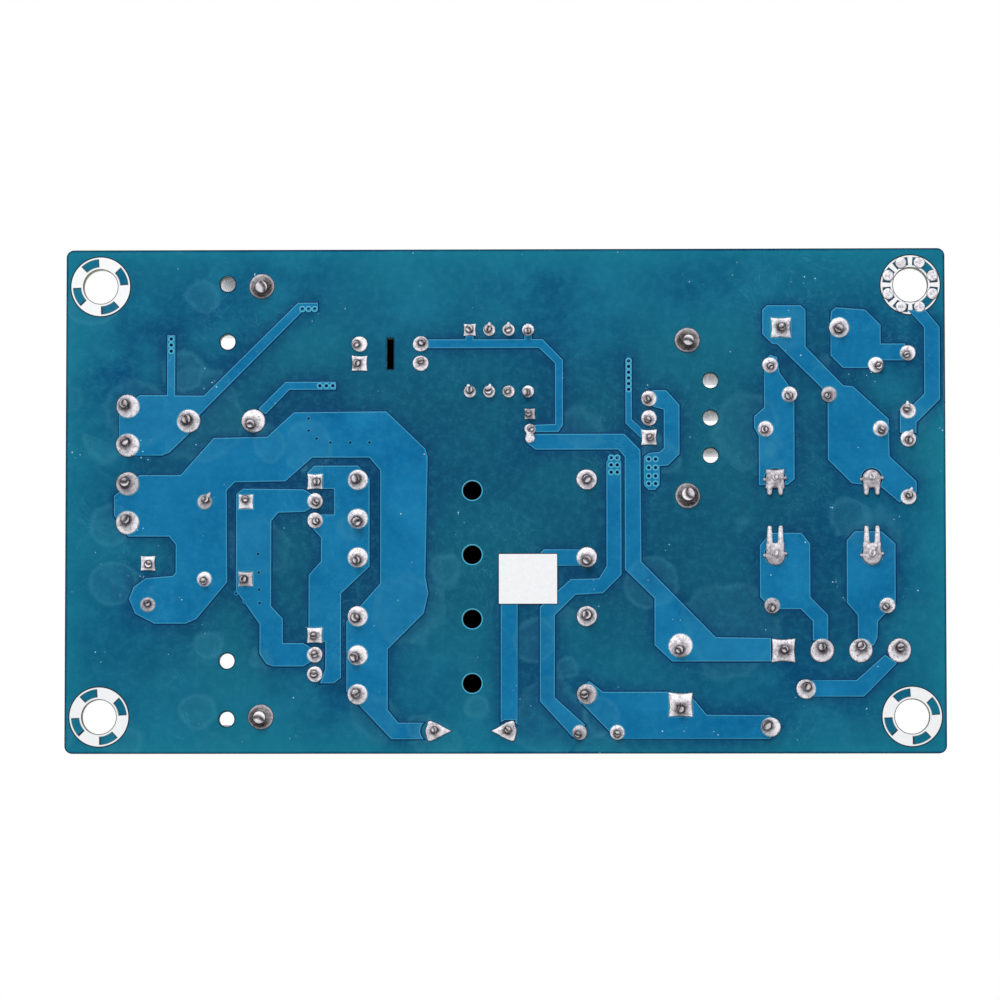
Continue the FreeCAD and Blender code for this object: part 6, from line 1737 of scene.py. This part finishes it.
bright = floor_tree.nodes.new("ShaderNodeEmission")
bright.inputs["Strength"].default_value = 1.0
clear = floor_tree.nodes.new("ShaderNodeBsdfTransparent")
distance = floor_tree.nodes.new("ShaderNodeVectorMath")
distance.operation = "LENGTH"
floor_tree.links.new(floor_coat.place, distance.inputs[0])
far_away = floor_coat.spread(distance.outputs["Value"], FADE_FROM, FADE_TO)
ground = floor_join(far_away, floor_coat.shader.outputs[0], bright.outputs[0])
facing = floor_tree.nodes.new("ShaderNodeNewGeometry")
one_sided = floor_join(facing.outputs["Backfacing"], ground, clear.outputs[0])
floor_tree.links.new(one_sided, floor_tree.nodes["Material Output"].inputs["Surface"])
floor_mesh = bpy.data.meshes.new("floor")
floor_level = float(solid_box[0][2])
floor_corners = [
    (side_x * FLOOR_HALF, side_y * FLOOR_HALF, floor_level)
    for side_x, side_y in ((-1, -1), (1, -1), (1, 1), (-1, 1))
]
floor_mesh.from_pydata(floor_corners, [], [(0, 1, 2, 3)])
floor_mesh.materials.append(floor_material)
floor = bpy.data.objects.new("floor", floor_mesh)
bpy.context.scene.collection.objects.link(floor)
for ray in ("diffuse", "glossy", "transmission", "shadow", "volume_scatter"):
    setattr(floor, "visible_" + ray, False)
print("floor at", floor_level / MM, "mm")

# %% [markdown]
# The light is soft, from large lamps on both sides of the board, at a level where a colour
# renders about as it is written.


# %% Lamps
def lamp(name, place, size, watts):
    """A square area lamp that faces the board's middle: place and size in metres."""
    light = bpy.data.lights.new(name, "AREA")
    light.size = size
    light.energy = watts
    holder = bpy.data.objects.new(name, light)
    holder.location = place
    way = -np.asarray(place, float)
    tip = float(np.arctan2(np.hypot(way[0], way[1]), -way[2]))
    holder.rotation_euler = (tip, 0.0, float(np.arctan2(way[0], -way[1]) + np.pi))
    bpy.context.scene.collection.objects.link(holder)


lamp("below_upper", (0.14, 0.42, -0.5), 0.35, 3.1)
lamp("below_lower", (-0.35, -0.3, -0.55), 0.5, 0.8)
lamp("above_key", (0.35, -0.3, 0.6), 0.4, 3.4)
lamp("above_fill", (-0.45, 0.35, 0.5), 0.6, 1.8)
print("four lamps")

# %% [markdown]
# The world is two whites in one. Rays that the camera sees, straight or by a mirror or through
# glass, meet full white, and the rest get a dimmer one that fills the shadows.

# %% World
WHITE, FILL_LIGHT, SEEN_LIGHT = (1.0, 1.0, 1.0, 1.0), 0.42, 1.0
world = bpy.data.worlds.new("studio")
bpy.context.scene.world = world
world.use_nodes = True
sky = world.node_tree
soft = sky.nodes["Background"]
seen = sky.nodes.new("ShaderNodeBackground")
for background, strength in ((soft, FILL_LIGHT), (seen, SEEN_LIGHT)):
    background.inputs["Color"].default_value = WHITE
    background.inputs["Strength"].default_value = strength
rays = sky.nodes.new("ShaderNodeLightPath")
shown = rays.outputs["Is Camera Ray"]
for kind in ("Is Glossy Ray", "Is Transmission Ray"):
    either = sky.nodes.new("ShaderNodeMath")
    either.operation = "MAXIMUM"
    sky.links.new(shown, either.inputs[0])
    sky.links.new(rays.outputs[kind], either.inputs[1])
    shown = either.outputs[0]
pick = sky.nodes.new("ShaderNodeMixShader")
for socket, output in zip(pick.inputs, (shown, soft.outputs[0], seen.outputs[0])):
    sky.links.new(output, socket)
sky.links.new(pick.outputs[0], sky.nodes["World Output"].inputs["Surface"])
bpy.context.scene.view_settings.view_transform = "Standard"
print("world set")

# %% [markdown]
# The camera stands 0.7 m below the board with a long lens, which shows it almost without
# perspective. Its place and small tilt put the board where the photograph has it.

# %% Camera
FOCAL_MM, SENSOR_MM, NEAREST = 193.36, 36.0, 0.01
lens = bpy.data.cameras.new("photo_camera")
lens.lens = FOCAL_MM
lens.sensor_width = SENSOR_MM
lens.clip_start = NEAREST
camera = bpy.data.objects.new("photo_camera", lens)
camera.location = (-0.01596, -0.0436, -0.7)
camera.rotation_euler = (-3.0792759, -0.0237022, -3.1413359)
bpy.context.scene.collection.objects.link(camera)
bpy.context.scene.camera = camera
print("camera", [round(value, 4) for value in camera.location])
